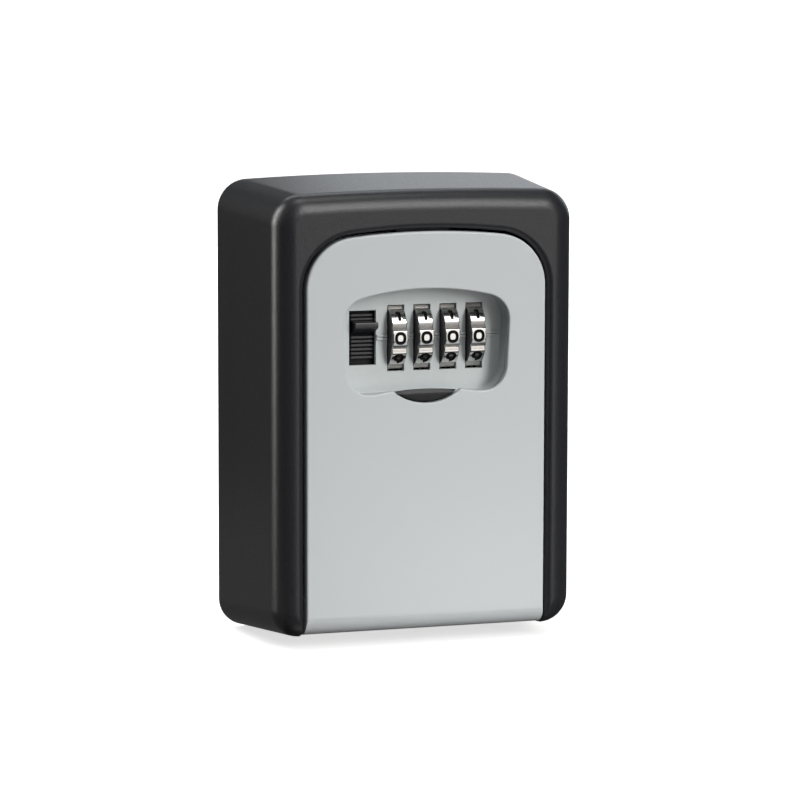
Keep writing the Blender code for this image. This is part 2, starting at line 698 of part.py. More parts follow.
def make_cover():
    front = HOUSING_BACK + GAP
    back = front + COVER_THICKNESS
    cover = box(
        "lock_cover", (-HOUSING_HALF_WIDTH, front, HOUSING_BOTTOM), (HOUSING_HALF_WIDTH, back, HOUSING_TOP)
    )
    for sign in (-1, 1):
        for z in PILLAR_ZS:
            name = f"cover_hole_{sign}_{z:.4f}"
            cut(cover, rod(name, "Y", (sign * PILLAR_X, z), front - PAST, back + PAST, SCREW_HOLE_RADIUS, cutters))
    lever_slot = box(
        "lever_slot", (LEVER_SLOT_X[0], front - PAST, LEVER_SLOT_Z[0]),
        (LEVER_SLOT_X[1], back + PAST, LEVER_SLOT_Z[1]), cutters,
    )
    cut(cover, lever_slot)
    return cover


def screw_mesh(length):
    """Pan-head cross-recess screw: the head's underside is at y = 0 and the shank runs towards -Y."""
    screw = rod("screw_template", "Y", (0, 0), 0, SCREW_HEAD_HEIGHT, SCREW_HEAD_RADIUS, cutters, 16)
    bevel = screw.modifiers.new("head_edge", "BEVEL")
    bevel.width = SCREW_HEAD_EDGE
    bevel.segments = 1
    bevel.limit_method = "ANGLE"
    shank = rod("screw_shank", "Y", (0, 0), -length, SCREW_HEAD_HEIGHT / 3, SCREW_RADIUS, cutters, 10)
    join(screw, shank)
    for index, (x, z) in enumerate((SCREW_RECESS, reversed(SCREW_RECESS))):
        blade = box(
            f"screw_recess_{index}", (-x, SCREW_RECESS_FLOOR, -z), (x, SCREW_HEAD_HEIGHT + PAST, z), cutters
        )
        cut(screw, blade)
    mesh = realised(screw)
    for obj in [screw, shank] + [other for other in cutters.objects if other.name.startswith("screw_recess")]:
        bpy.data.objects.remove(obj)
    return mesh


def make_screws():
    short, long = screw_mesh(HOUSING_SCREW_LENGTH), screw_mesh(COVER_SCREW_LENGTH)
    housing_screws, cover_screws = [], []
    corners = [(sign, place) for place in (0, 1) for sign in (-1, 1)]
    for number, (sign, place) in enumerate(corners, 1):
        screw = add(f"housing_screw_{number}", short)
        screw.location = (sign * EAR_X, EAR_BACK + GAP, EAR_ZS[place])
        housing_screws.append(screw)
        screw = add(f"cover_screw_{number}", long)
        screw.location = (sign * PILLAR_X, HOUSING_BACK + COVER_THICKNESS + 2 * GAP, PILLAR_ZS[place])
        cover_screws.append(screw)
    return housing_screws + cover_screws


# ---------------------------------------------------------------- dials and hubs

def dial_outline():
    """Ten lands with a V-shaped groove between each pair; a land is centred on the angle 0."""
    points = []
    step = 2 * math.pi / LANDS
    half_land = step * LAND_SHARE / 2
    valley = half_land + (step / 2 - half_land) * GROOVE_FLANK
    for index in range(LANDS):
        middle = index * step
        for offset in (-half_land, 0, half_land):
            points.append((DIAL_RADIUS, middle + offset))
        for offset in (valley, step - valley):
            points.append((DIAL_RADIUS - GROOVE_DEPTH, middle + offset))
    return [(radius * math.cos(angle), radius * math.sin(angle)) for radius, angle in points]


def clutch_outline():
    """Bore with ten radial slots, one for each digit."""
    points = []
    half_inner = math.asin(CLUTCH_SLOT_WIDTH / 2 / CLUTCH_ROOT)
    half_outer = math.asin(CLUTCH_SLOT_WIDTH / 2 / CLUTCH_SLOT_RADIUS)
    for index in range(LANDS):
        middle = index * 2 * math.pi / LANDS
        points += [
            (CLUTCH_ROOT, middle - half_inner), (CLUTCH_SLOT_RADIUS, middle - half_outer),
            (CLUTCH_SLOT_RADIUS, middle + half_outer), (CLUTCH_ROOT, middle + half_inner),
        ]
    return [(radius * math.cos(angle), radius * math.sin(angle)) for radius, angle in points]


def make_dials():
    half = DIAL_THICKNESS / 2
    blank = plate("dial_template", [dial_outline()], -half, half, SIDEWAYS, cutters)
    edge = blank.modifiers.new("edges", "BEVEL")
    edge.width = DIAL_EDGE
    edge.segments = 1
    edge.limit_method = "ANGLE"
    edge.angle_limit = math.radians(60)
    bore = rod("dial_bore", "X", (0, 0), -half - PAST, half + PAST, DIAL_BORE, cutters, 24)
    clutch = plate("dial_clutch", [clutch_outline()], half - CLUTCH_DEPTH, half + PAST, SIDEWAYS, cutters)
    cut(blank, bore, clutch)
    mesh = realised(blank)
    mesh.transform(blank.matrix_world)
    for helper in (blank, bore, clutch):
        bpy.data.objects.remove(helper)
    dials = []
    for number, x in enumerate(DIAL_XS, 1):
        dial = add(f"dial_wheel_{number}", mesh)
        dial.location = (x, DIAL_AXIS_Y, DIAL_AXIS_Z)
        dials.append(dial)
    return dials


def make_hubs():
    """Sleeve on the shaft with a gated disc, and a key that drives it from the dial's clutch slots."""
    disc_start = DIAL_THICKNESS / 2 + GAP
    disc_end = disc_start + GATE_THICKNESS
    sleeve = rod("hub_template", "X", (0, 0), SLEEVE_X[0], SLEEVE_X[1], SLEEVE_RADIUS, cutters, 20)
    disc = rod("hub_disc", "X", (0, 0), disc_start, disc_end, GATE_RADIUS, cutters, 32)
    key = box(
        "hub_key", (DIAL_THICKNESS / 2 - CLUTCH_DEPTH + KEY_CLEARANCE, SHAFT_RADIUS + 2 * GAP, -KEY_WIDTH / 2),
        (disc_start + GATE_THICKNESS / 2, KEY_RADIUS, KEY_WIDTH / 2), cutters,
    )
    gate = box(
        "hub_gate", (disc_start - PAST, -GATE_WIDTH / 2, SLEEVE_RADIUS + OVERLAP / 2),
        (disc_end + PAST, GATE_WIDTH / 2, GATE_RADIUS + PAST), cutters,
    )
    bore = rod("hub_bore", "X", (0, 0), SLEEVE_X[0] - PAST, SLEEVE_X[1] + PAST, SHAFT_RADIUS + GAP, cutters, 16)
    cut(disc, gate)
    join(sleeve, disc, key)
    cut(sleeve, bore)
    mesh = realised(sleeve)
    for helper in (sleeve, disc, key, gate, bore):
        bpy.data.objects.remove(helper)
    hubs = []
    for number, x in enumerate(DIAL_XS, 1):
        hub = add(f"clutch_hub_{number}", mesh)
        hub.location = (x, DIAL_AXIS_Y, DIAL_AXIS_Z)
        hubs.append(hub)
    return hubs


def make_shaft():
    shaft = rod("dial_shaft", "X", (DIAL_AXIS_Y, DIAL_AXIS_Z), SHAFT_X[0], SHAFT_X[1], SHAFT_RADIUS)
    rings = []
    for side, start in RING_XS.items():
        end = start + RING_THICKNESS
        ring = rod(f"shaft_ring_{side}", "X", (DIAL_AXIS_Y, DIAL_AXIS_Z), start, end, RING_RADIUS)
        hole = rod(
            f"ring_hole_{side}", "X", (DIAL_AXIS_Y, DIAL_AXIS_Z), start - PAST, end + PAST,
            SHAFT_RADIUS + OVERLAP, cutters,
        )
        mouth = box(
            f"ring_mouth_{side}", (start - PAST, DIAL_AXIS_Y - RING_HALF_MOUTH, DIAL_AXIS_Z - RING_RADIUS - PAST),
            (end + PAST, DIAL_AXIS_Y + RING_HALF_MOUTH, DIAL_AXIS_Z), cutters,
        )
        cut(ring, hole, mouth)
        rings.append(ring)
    return [shaft] + rings


def make_detent():
    """Leaf spring comb under the dials: one finger for each, its nose under the rim."""
    strip = box("detent_spring", *zip(DETENT_X, DETENT_Y, DETENT_Z))
    for index, x in enumerate(DIAL_XS):
        finger = plate(
            f"detent_finger_{index}", [DETENT_PROFILE], x - DETENT_HALF_WIDTH, x + DETENT_HALF_WIDTH, SIDEWAYS,
            cutters,
        )
        join(strip, finger)
    return strip


# ---------------------------------------------------------------- latch, release button and change slide

def make_latch():
    latch = box(
        "latch_plate", (-PLATE_HALF_WIDTH, PLATE_FRONT, PLATE_BOTTOM), (PLATE_HALF_WIDTH, PLATE_BACK, PLATE_TOP)
    )
    for sign in (-1, 1):
        outer = sign * PLATE_HALF_WIDTH
        low, high = sorted((outer - sign * OVERLAP, outer - sign * LEG_WIDTH))
        join(latch, box(
            f"latch_leg_{sign}", (low, PLATE_FRONT, LEG_BOTTOM), (high, PLATE_BACK, PLATE_BOTTOM + PAST), cutters
        ))
    neck = box(
        "latch_neck", (-NECK_HALF_WIDTH, PLATE_FRONT, PLATE_TOP - PAST), (NECK_HALF_WIDTH, PLATE_BACK, SHELF_Z[1]),
        cutters,
    )
    front, back = TONGUE_Y
    foot = SHELF_Z[0] + OVERLAP
    shelf = box(
        "latch_shelf", (-NECK_HALF_WIDTH, front, SHELF_Z[0]), (NECK_HALF_WIDTH, PLATE_BACK - OVERLAP, SHELF_Z[1]),
        cutters,
    )
    tongue_profile = [
        (front, foot), (back, foot), (back, TONGUE_TOP - TONGUE_RAMP[1]),
        (front + TONGUE_RAMP[0], TONGUE_TOP), (front, TONGUE_TOP),
    ]
    tongue = plate(
        "latch_tongue", [tongue_profile], -TONGUE_HALF_WIDTH, TONGUE_HALF_WIDTH, SIDEWAYS, cutters
    )
    join(latch, neck, shelf, tongue)
    tip_bottom = DIAL_AXIS_Z + SLEEVE_RADIUS + TIP_GAP + LATCH_TRAVEL
    arm_bottom = DIAL_AXIS_Z + GATE_RADIUS + GAP + LATCH_TRAVEL
    for index, x in enumerate(DIAL_XS):
        low = x + DIAL_THICKNESS / 2 + GAP + (GATE_THICKNESS - FINGER_THICKNESS) / 2
        high = low + FINGER_THICKNESS
        tip_front = DIAL_AXIS_Y - FINGER_TIP / 2
        arm = box(
            f"latch_arm_{index}", (low, tip_front, arm_bottom), (high, PLATE_FRONT + GAP, arm_bottom + FINGER_HEIGHT),
            cutters,
        )
        tip = box(
            f"latch_tip_{index}", (low + OVERLAP / 2, tip_front + OVERLAP / 2, tip_bottom),
            (high - OVERLAP / 2, tip_front + FINGER_TIP, arm_bottom + FINGER_HEIGHT / 4), cutters,
        )
        join(latch, arm, tip)
    mortise = box(
        "button_mortise", (ARM_X[0] - GAP, PLATE_FRONT - PAST, ARM_Z[0] - GAP),
        (ARM_X[1] + GAP, PLATE_BACK + PAST, ARM_Z[1] + GAP), cutters,
    )
    cut(latch, mortise)
    return latch


def make_button():
    """Release button: the ribbed slide with its thumb rib, and an arm back to the latch plate."""
    button = box("release_button", *zip(SLIDE_X, SLIDE_Y, SLIDE_Z))
    inside = SLIDE_Y[0] + OVERLAP
    for index, steps in enumerate(RIB_STEPS):
        z = DIAL_AXIS_Z + steps * RIB_PITCH
        rib = box(
            f"button_rib_{index}", (RIB_X[0], RIB_FRONT, z - RIB_HEIGHT / 2), (RIB_X[1], inside, z + RIB_HEIGHT / 2),
            cutters,
        )
        join(button, rib)
    corner = THUMB_FRONT + THUMB_CORNER
    sides = [(inside, THUMB_FOOT), (corner, THUMB_NECK), (THUMB_FRONT, THUMB_TIP)]
    profile = [(y, DIAL_AXIS_Z + low) for y, (low, high) in sides]
    profile += [(y, DIAL_AXIS_Z + high) for y, (low, high) in reversed(sides)]
    thumb = plate("button_thumb", [profile], RIB_X[0] + OVERLAP, RIB_X[1], SIDEWAYS, cutters)
    arm = box("button_arm", (ARM_X[0], inside, ARM_Z[0]), (ARM_X[1], ARM_BACK, ARM_Z[1]), cutters)
    join(button, thumb, arm)
    return button


def make_change_slide():
    """Code-change slide: its blade pushes the hubs along the shaft, its thumb pad is outside the cover."""
    slide = box("change_slide", *CHANGE_BLADE)
    stem = box("slide_stem", *CHANGE_STEM, cutters)
    pad = box("slide_pad", *CHANGE_PAD, cutters)
    join(slide, stem, pad)
    hole = rod(
        "slide_hole", "X", (DIAL_AXIS_Y, DIAL_AXIS_Z), CHANGE_BLADE[0][0] - PAST, CHANGE_BLADE[1][0] + PAST,
        SHAFT_RADIUS + GAP, cutters,
    )
    cut(slide, hole)
    return slide


def make_shutter():
    shutter = box(
        "weather_shutter", (-SHUTTER_HALF_WIDTH, SHUTTER_Y[0], SHUTTER_Z[0]),
        (SHUTTER_HALF_WIDTH, SHUTTER_Y[1], SHUTTER_Z[1]),
    )
    tab = loft("shutter_tab", [(y, tab_outline(top, arch)) for y, top, arch in TAB_SECTIONS], cutters)
    join(shutter, tab)
    return shutter


def make_springs():
    seat = HOUSING_BOTTOM + HOUSING_WALL + GAP
    middle_y = (PLATE_FRONT + PLATE_BACK) / 2
    springs = []
    for side, sign in (("left", -1), ("right", 1)):
        springs.append(coil(
            f"latch_spring_{side}", seat, LEG_BOTTOM - GAP, (sign * LATCH_SPRING_X, middle_y),
            LATCH_SPRING_RADIUS, SPRING_WIRE, LATCH_SPRING_TURNS, "Z",
        ))
    hub_end = DIAL_XS[-1] + SLEEVE_X[1]
    wall = HOUSING_HALF_WIDTH - HOUSING_WALL
    springs.append(coil(
        "clutch_spring", hub_end + GAP, wall - GAP, (DIAL_AXIS_Y, DIAL_AXIS_Z), CLUTCH_SPRING_RADIUS, SPRING_WIRE,
        CLUTCH_SPRING_TURNS, "X",
    ))
    return springs


# ---------------------------------------------------------------- assembly

def pivot(name, location, pieces):
    """Empty on a joint's axis, with the pieces that move on that joint as its children."""
    empty = bpy.data.objects.new(name, None)
    empty.empty_display_size = 5 * MM
    empty.location = location
    parts.objects.link(empty)
    bpy.context.view_layer.update()
    for piece in pieces:
        place = piece.matrix_world.copy()
        piece.parent = empty
        piece.matrix_parent_inverse = empty.matrix_world.inverted()
        piece.matrix_world = place
    return empty


def shade(objects, material):
    for obj in objects:
        if obj.type == "MESH" and obj.data.users > 1 and obj.data.materials:
            continue
        obj.data.materials.clear()
        obj.data.materials.append(material)
        if obj.type == "MESH":
            obj.data.shade_smooth()
            obj.data.set_sharp_from_angle(angle=math.radians(30))


def main():
    global parts, cutters
    for obj in list(bpy.data.objects):
        bpy.data.objects.remove(obj)
    parts = bpy.data.collections.new("key_lock_box")
    cutters = bpy.data.collections.new("cutters")
    for collection in (parts, cutters):
        bpy.context.scene.collection.children.link(collection)

    shell, pins = make_body()
    door = make_door()
    housing = make_housing()
    cover = make_cover()
    screws = make_screws()
    dials = make_dials()
    hubs = make_hubs()
    shaft = make_shaft()
    detent = make_detent()
    latch = make_latch()
    button = make_button()
    change_slide = make_change_slide()
    shutter = make_shutter()
    springs = make_springs()

    shade(shell, finish_material("black_coat", (0.020, 0.021, 0.024), 0.55, 0.0))
    shade([door, housing], finish_material("grey_coat", (0.56, 0.58, 0.58), 0.5, 0.0))
    shade(dials, finish_material("chrome", (0.78, 0.76, 0.73), 0.12, 1.0))
    shade([button, shutter], finish_material("black_plastic", (0.018, 0.018, 0.020), 0.4, 0.0))
    shade([cover, *hubs], finish_material("zinc", (0.50, 0.51, 0.52), 0.4, 1.0))
    shade([latch], finish_material("blackened_steel", (0.035, 0.035, 0.037), 0.4, 1.0))
    shade([*screws, *pins, *shaft], finish_material("steel", (0.62, 0.62, 0.62), 0.3, 1.0))
    shade([detent, *springs], finish_material("spring_steel", (0.45, 0.45, 0.46), 0.3, 1.0))
    shade([change_slide], finish_material("brass", (0.70, 0.55, 0.28), 0.35, 1.0))

    hinge = pivot("door_hinge", (0, HINGE_Y, HINGE_Z), [door, housing, cover, detent, *screws, *shaft, *springs])
    change = pivot("change_axis", (0, DIAL_AXIS_Y, DIAL_AXIS_Z), [change_slide, *hubs])
    release = pivot("latch_axis", (0, PLATE_BACK, DIAL_AXIS_Z), [latch, button])
    cover_up = pivot("shutter_axis", (0, SHUTTER_Y[0], SHUTTER_Z[0]), [shutter])
    pivot("door_group", (0, HINGE_Y, HINGE_Z), [hinge, change, release, cover_up, *dials])


main()
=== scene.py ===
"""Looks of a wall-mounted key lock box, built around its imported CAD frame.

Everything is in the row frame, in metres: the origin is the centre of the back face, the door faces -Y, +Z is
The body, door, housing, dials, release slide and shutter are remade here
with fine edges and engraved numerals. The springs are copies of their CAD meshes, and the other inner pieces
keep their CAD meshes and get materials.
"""

import json
import math

import bmesh
import bpy
from mathutils import Matrix, Vector

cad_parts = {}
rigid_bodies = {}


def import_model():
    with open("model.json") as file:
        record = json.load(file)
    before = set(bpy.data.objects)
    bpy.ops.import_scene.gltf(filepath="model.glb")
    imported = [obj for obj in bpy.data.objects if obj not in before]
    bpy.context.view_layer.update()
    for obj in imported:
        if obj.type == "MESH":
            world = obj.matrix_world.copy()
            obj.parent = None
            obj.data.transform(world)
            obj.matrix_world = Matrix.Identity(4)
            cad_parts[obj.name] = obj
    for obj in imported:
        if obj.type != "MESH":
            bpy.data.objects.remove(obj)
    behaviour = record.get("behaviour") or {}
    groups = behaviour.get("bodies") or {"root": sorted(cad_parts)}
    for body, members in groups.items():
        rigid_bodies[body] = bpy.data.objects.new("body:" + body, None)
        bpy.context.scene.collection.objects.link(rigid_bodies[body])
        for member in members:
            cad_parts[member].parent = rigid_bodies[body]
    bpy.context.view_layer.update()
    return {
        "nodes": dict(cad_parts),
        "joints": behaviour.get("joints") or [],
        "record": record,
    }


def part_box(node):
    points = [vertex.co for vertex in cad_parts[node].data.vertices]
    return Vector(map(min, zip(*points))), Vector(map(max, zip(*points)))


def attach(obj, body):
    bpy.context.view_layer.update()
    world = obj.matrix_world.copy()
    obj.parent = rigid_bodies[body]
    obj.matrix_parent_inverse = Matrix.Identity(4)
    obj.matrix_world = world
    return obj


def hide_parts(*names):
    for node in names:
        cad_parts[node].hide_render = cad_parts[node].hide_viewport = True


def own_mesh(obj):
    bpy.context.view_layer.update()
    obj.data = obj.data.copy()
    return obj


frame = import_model()

MM = 0.001
QUARTER = math.pi / 2
PAST = 2 * MM  # how far a cutter reaches past the surface it cuts
OVERLAP = 1 * MM  # how deep an added solid starts inside its neighbour

# ---------------------------------------------------------------- places read from the frame

SHELL_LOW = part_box("body_shell")[0]
DOOR_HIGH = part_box("door_panel")[1]
HOUSING_LOW, HOUSING_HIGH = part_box("dial_housing")
PIN_LOW, PIN_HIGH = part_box("hinge_pin_right")
BUTTON_LOW, BUTTON_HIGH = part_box("release_button")
SHUTTER_LOW, SHUTTER_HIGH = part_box("weather_shutter")
DIAL_BOXES = [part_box(f"dial_wheel_{number}") for number in range(1, 5)]
DIAL_CENTRES = [(low + high) / 2 for low, high in DIAL_BOXES]
EAR_PLACES = [sum(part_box(f"housing_screw_{number}"), Vector()) / 2 for number in range(1, 5)]
PILLAR_PLACES = [sum(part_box(f"cover_screw_{number}"), Vector()) / 2 for number in range(1, 5)]

FRONT = SHELL_LOW.y
HINGE_Y = (PIN_LOW.y + PIN_HIGH.y) / 2
HINGE_Z = (PIN_LOW.z + PIN_HIGH.z) / 2
HINGE = (HINGE_Y, HINGE_Z)
AXIS_Z = DIAL_CENTRES[0].z
DIAL_AXIS = (DIAL_CENTRES[0].y, AXIS_Z)

# ---------------------------------------------------------------- shape values

SIDE_DRAFT = math.radians(5.7)
TOP_DRAFT = math.radians(2.4)
BASE_DRAFT = math.radians(4.9)
BODY_WIDTH = 85 * MM
BODY_HEIGHT = 115 * MM
BODY_ARCH_RADIUS = 750 * MM
BODY_TOP_RADIUS = 7.7 * MM
BODY_BASE_RADIUS = 7.1 * MM
SMALLEST_RADIUS = 1 * MM
FRONT_FILLET = 5 * MM
BACK_EDGE = 0.5 * MM
WALL = 2.5 * MM
BEZEL_THICKNESS = 3 * MM
BEZEL_EDGE = 1.5 * MM
# Distance from the cavity's back or front end and further margin inside the walls, in mm.
CAVITY_BACK = [(0, 1), (0.3, 0.3), (1, 0)]
CAVITY_FRONT = [(3, 0), (1, 0.9), (0, 2.5)]
WALL_HOLE = (24 * MM, 39 * MM)
WALL_HOLE_RADIUS = 2.5 * MM
# Place along Y and growth of the radius, in mm, from behind the back face into the box.
WALL_HOLE_SECTIONS = [(1, 0.4), (0, 0.4), (-0.12, 0.12), (-0.4, 0), (-5, 0)]
HINGE_BOSS_RADIUS = 3.6 * MM
HINGE_BOSS = (30 * MM, 45 * MM)  # inner and outer end
PIN_HOLE_RADIUS = 1.5 * MM
PIN_END_ROOM = 0.3 * MM
SILL_BACK = 3 * MM  # behind the hinge
SILL_TOP = 2 * MM  # above the hinge

DOOR_ARCH_RADIUS = 175 * MM
DOOR_TOP_RADIUS = 13 * MM
DOOR_GAP = 0.7 * MM
DOOR_EDGE = 0.6 * MM
SKIN = 1.6 * MM
BARREL_RADIUS = 5 * MM
BARREL_ROOM = BARREL_RADIUS + 0.6 * MM
BARREL_BORE = (20 * MM, 40 * MM)  # inner and outer end
FLANGE_DEPTH = 6.5 * MM
FLANGE_WALL = 1.8 * MM
FLANGE_INSET = 0.15 * MM
FLANGE_RISE = 3 * MM  # of its foot above the hinge
RAIL_GAP = 0.6 * MM
RAIL_THICKNESS = 1.2 * MM
RAIL_BACK = -34.4 * MM
DOOR_BOSS_RADIUS = 2.2 * MM
DOOR_BOSS_BACK = -34 * MM
SCREW_HOLE_RADIUS = 1.3 * MM
DOOR_HOLE_FRONT = -38.3 * MM
TONGUE_NOTCH_HALF_WIDTH = 7.6 * MM
TONGUE_NOTCH_HEIGHT = 6 * MM

WINDOW_HALF_WIDTH = 21.75 * MM
WINDOW_TOP = 31.6 * MM
WINDOW_BOTTOM = 5.7 * MM
WINDOW_ARCH_RADIUS = 70 * MM
WINDOW_TOP_RADIUS = 7 * MM
WINDOW_BOTTOM_RADIUS = 6 * MM
WINDOW_TAPER = 2.3
WINDOW_WIDEST = 26 * MM
WINDOW_EDGE = 0.42 * MM
NOTCH_RADIUS = 14 * MM
NOTCH_DEPTH = 2.45 * MM
LIP_START = 15 * MM
LIP_RISE = 0.7 * MM

FLOOR_FRONT = -33 * MM
FLOOR_BACK = -31.8 * MM
HOUSING_WALL = 1.6 * MM
RECESS_MARGIN = 0.3 * MM
RECESS_FILLET = 0.25 * MM
APRON_THICKNESS = 1.2 * MM
HOUSING_FOOT = 1.5 * MM  # height of its lowest wall
HOUSING_MARGIN = 0.3 * MM  # wider than the shutter
EAR_FRONT, EAR_BACK = -33.7 * MM, -32.2 * MM
EAR_HALF_HEIGHT = 2.2 * MM
EAR_HOLE = (-35 * MM, -31 * MM)
PILLAR_HALF_SIZE = (2.1 * MM, 2.3 * MM)
PILLAR_FRONT = -28 * MM
PILLAR_HOLE_FRONT = -19 * MM
WEB_X = (-12.3 * MM, -10.9 * MM)
WEB_Y = (-29.6 * MM, -22 * MM)
DIAL_SLOT = (4.4 * MM, 16.5 * MM)
DIAL_SLOT_Z = 18.8 * MM
BUTTON_SLOT = (6.9 * MM, 13.6 * MM)
BUTTON_X = -14.55 * MM
SLOT_EDGE = 0.12 * MM
DIAL_ROOM_RADIUS = 9.4 * MM
DIAL_ROOM_EASE = 0.01 * MM  # keeps the room's sides off the slot's
DISC_ROOM_RADIUS = 4.55 * MM
DISC_ROOM_END = 4.75 * MM  # from the dial's middle
LATCH_SLOT_HALF_WIDTH = 9.4 * MM
LATCH_SLOT_Y = (-17 * MM, -14.8 * MM)
SHAFT_HOLE_X = (-13.7 * MM, 25.4 * MM)
SHAFT_HOLE_RADIUS = 1.55 * MM
INDEX_RADIUS = 0.28 * MM
INDEX_OFFSET = 0.38 * MM
INDEX_LIFT = 0.22 * MM
INDEX_X = (-10.9 * MM, WINDOW_HALF_WIDTH - 0.9 * MM)

DIAL_RADIUS = 9.1 * MM
DIAL_EDGE = 0.25 * MM
DIAL_BORE = 2.75 * MM
LANDS = 10
LAND_SHARE = 0.61
GROOVE_DEPTH = 0.55 * MM
GROOVE_FLANK = [0.04, 0.12, 0.3, 0.5, 0.7, 0.82, 0.92, 1]  # shares of its width that get a point
FLANK_EASE = (0.12, 0.04)  # share of the width that slopes less, and share of the depth lost by it
SATIN_DEPTH = 0.12 * MM  # below the lands, where the grooves' finish starts
CLUTCH_ROOT = DIAL_BORE - 0.3 * MM
CLUTCH_SLOT_RADIUS = 4 * MM
CLUTCH_SLOT_WIDTH = 1.5 * MM
CLUTCH_DEPTH = 1.2 * MM
DIGIT_SIZE = (2.2 * MM, 2.45 * MM)  # between the middles of the strokes
STROKE_RADIUS = 0.44 * MM
SQUARENESS = 0.85  # 1 is an ellipse, less is squarer
STROKE_LIFT = 0.1 * MM  # the cutter's centre above the land

SLIDE_FRONT, SLIDE_BACK = -30.5 * MM, -29.9 * MM
RIB_HEIGHTS = (5.5, 4.5, 0, -1, -2, -3, -4, -5)  # mm above the dials' axis
RIB_X = (-17.1 * MM, -11.2 * MM)
RIB_Y = (-31.5 * MM, -30.2 * MM)
RIB_HALF_HEIGHT = 0.28 * MM
RIB_EDGE = 0.07 * MM
THUMB_X = (-17 * MM, -11.2 * MM)
THUMB_ROOT = -30.4 * MM
THUMB_FOOT, THUMB_HEAD = 0.5 * MM, 4.1 * MM  # the root's height above the dials' axis
# Depth behind the tip and height above the dials' axis, in mm, from the lower side to the upper.
THUMB_TIP = [(0.5, 2.4), (0.15, 2.6), (0, 2.85), (0, 3.7), (0.08, 3.9), (0.3, 4.02)]
ARM_X = (-16.5 * MM, -14 * MM)
ARM_Z = (19 * MM, 23 * MM)

SHUTTER_FRONT = -38.1 * MM
SHUTTER_TOP = 5.4 * MM
SHUTTER_EDGE = 0.15 * MM
# In mm: depth behind the tab's front, margin inside the notch, height at its sides and further rise between.
TAB_SECTIONS = [
    (0, 0.85, 5.42, 0), (0.04, 0.75, 5.5, 0), (0.14, 0.66, 5.55, 0), (0.9, 0.3, 5.57, 0), (0.96, 0.3, 5.4, 0),
    (1.06, 0.3, 5.4, 0), (1.12, 0.3, 5.55, 0.1), (1.4, 0.3, 6, 0.42), (1.5, 0.3, 6.1, 0.45),
    (2.4, 0.3, 6.1, 0.45),
]

# ---------------------------------------------------------------- stage values

STUDIO_RADIUS = 12
STUDIO_GLOW = 0.66
STUDIO_GAP = 0.3 * MM  # under the box
PATCH_RADIUS = 0.14
PATCH_PLACE = (-0.15, 0.05)
PATCH_LIFT = 0.1 * MM
PATCH_GLOW = 0.13
WORLD_GLOW = 0.04
SKY_POWER = 1.8
SKY_ANGLE = math.radians(100)
WARM, COOL = (1.0, 0.985, 0.965), (0.92, 0.96, 1.0)
# Name, azimuth, elevation, distance, size, power and colour.
FILLS = [
    ("key", 27, 19, 1.3, (0.4, 0.7), 12.0, WARM),
    ("low_fill", 8, -7.5, 0.36, (0.5, 0.05), 0.2, WARM),
    ("floor_bounce", 10, -32, 0.106, (0.09, 0.03), 0.009, WARM),
    ("rear_key", 196, 22, 1.3, (0.5, 0.7), 16, COOL),
]
CARDS = [
    ("front_card", 20, 4, 1.3, (0.42, 0.85), 1.25, WARM),
    ("under_card", 17, -66, 0.5, (0.3, 0.25), 0.11, WARM),
    ("lower_card", 20, -23, 1.3, (0.42, 0.35), 0.25, COOL),
    ("upper_card", 17, 32, 1.3, (0.6, 0.6), 5.6, WARM),
    ("top_card", 16, 51, 1.3, (0.5, 0.24), 1.3, WARM),
    ("overhead_card", 17, 84, 1.3, (0.6, 0.34), 2.2, WARM),
    ("high_card", 175, 50, 1.3, (0.9, 0.3), 2.1, COOL),
    ("left_strip", -108, 22, 1.2, (0.42, 1.2), 13, WARM),
    ("back_card", 140, 16, 1.5, (1.3, 0.7), 3.4, COOL),
]

YAW = math.radians(18.52)
PITCH = math.radians(7.47)
ROLL = math.radians(0.13)
CAMERA_DISTANCE = 0.9694
CAMERA_TARGET = Vector((0, -0.020, 0.0025))
LENS = 173  # mm, as is the sensor's width
SENSOR_WIDTH = 36
LENS_SHIFT = (-0.0018, -0.0053)
CLIP_START = 0.05

# ---------------------------------------------------------------- outlines


def arc(centre, radius, start, end, steps):
    """Points of an arc in the plane, both ends included. Angles are radians."""
    angles = [start + (end - start) * step / steps for step in range(steps + 1)]
    return [(centre[0] + radius * math.cos(a), centre[1] + radius * math.sin(a)) for a in angles]


def quarter_turn(steps):
    """Angles from 0 to a quarter turn, both included."""
    return [QUARTER * step / steps for step in range(steps + 1)]


def circle(centre, radius, steps=64):
    return arc(centre, radius, 0, 2 * math.pi, steps)[:-1]


def both_sides(near, far):
    """The stretch between two distances from the middle plane, on the left and on the right."""
    return (-far, -near), (near, far)


def rectangle(low_x, low_z, high_x, high_z):
    return [(low_x, low_z), (high_x, low_z), (high_x, high_z), (low_x, high_z)]


def arched_outline(half_width, bottom, top, arch_radius, top_radius, bottom_radius, steps=16):
    """Outline of a plate with a shallow arch on top, anticlockwise from the foot of its right side."""
    arch_centre = top - arch_radius
    corner_x = half_width - top_radius
    corner_z = arch_centre + math.sqrt((arch_radius - top_radius) ** 2 - corner_x ** 2)
    meet = math.atan2(corner_z - arch_centre, corner_x)
    foot_x = half_width - bottom_radius
    foot_z = bottom + bottom_radius
    points = arc((foot_x, foot_z), bottom_radius, -QUARTER, 0, steps)
    points += arc((corner_x, corner_z), top_radius, 0, meet, steps)
    points += arc((0, arch_centre), arch_radius, meet, math.pi - meet, 2 * steps)[1:-1]
    points += arc((-corner_x, corner_z), top_radius, math.pi - meet, math.pi, steps)
    points += arc((-foot_x, foot_z), bottom_radius, math.pi, 3 * QUARTER, steps)
    return points


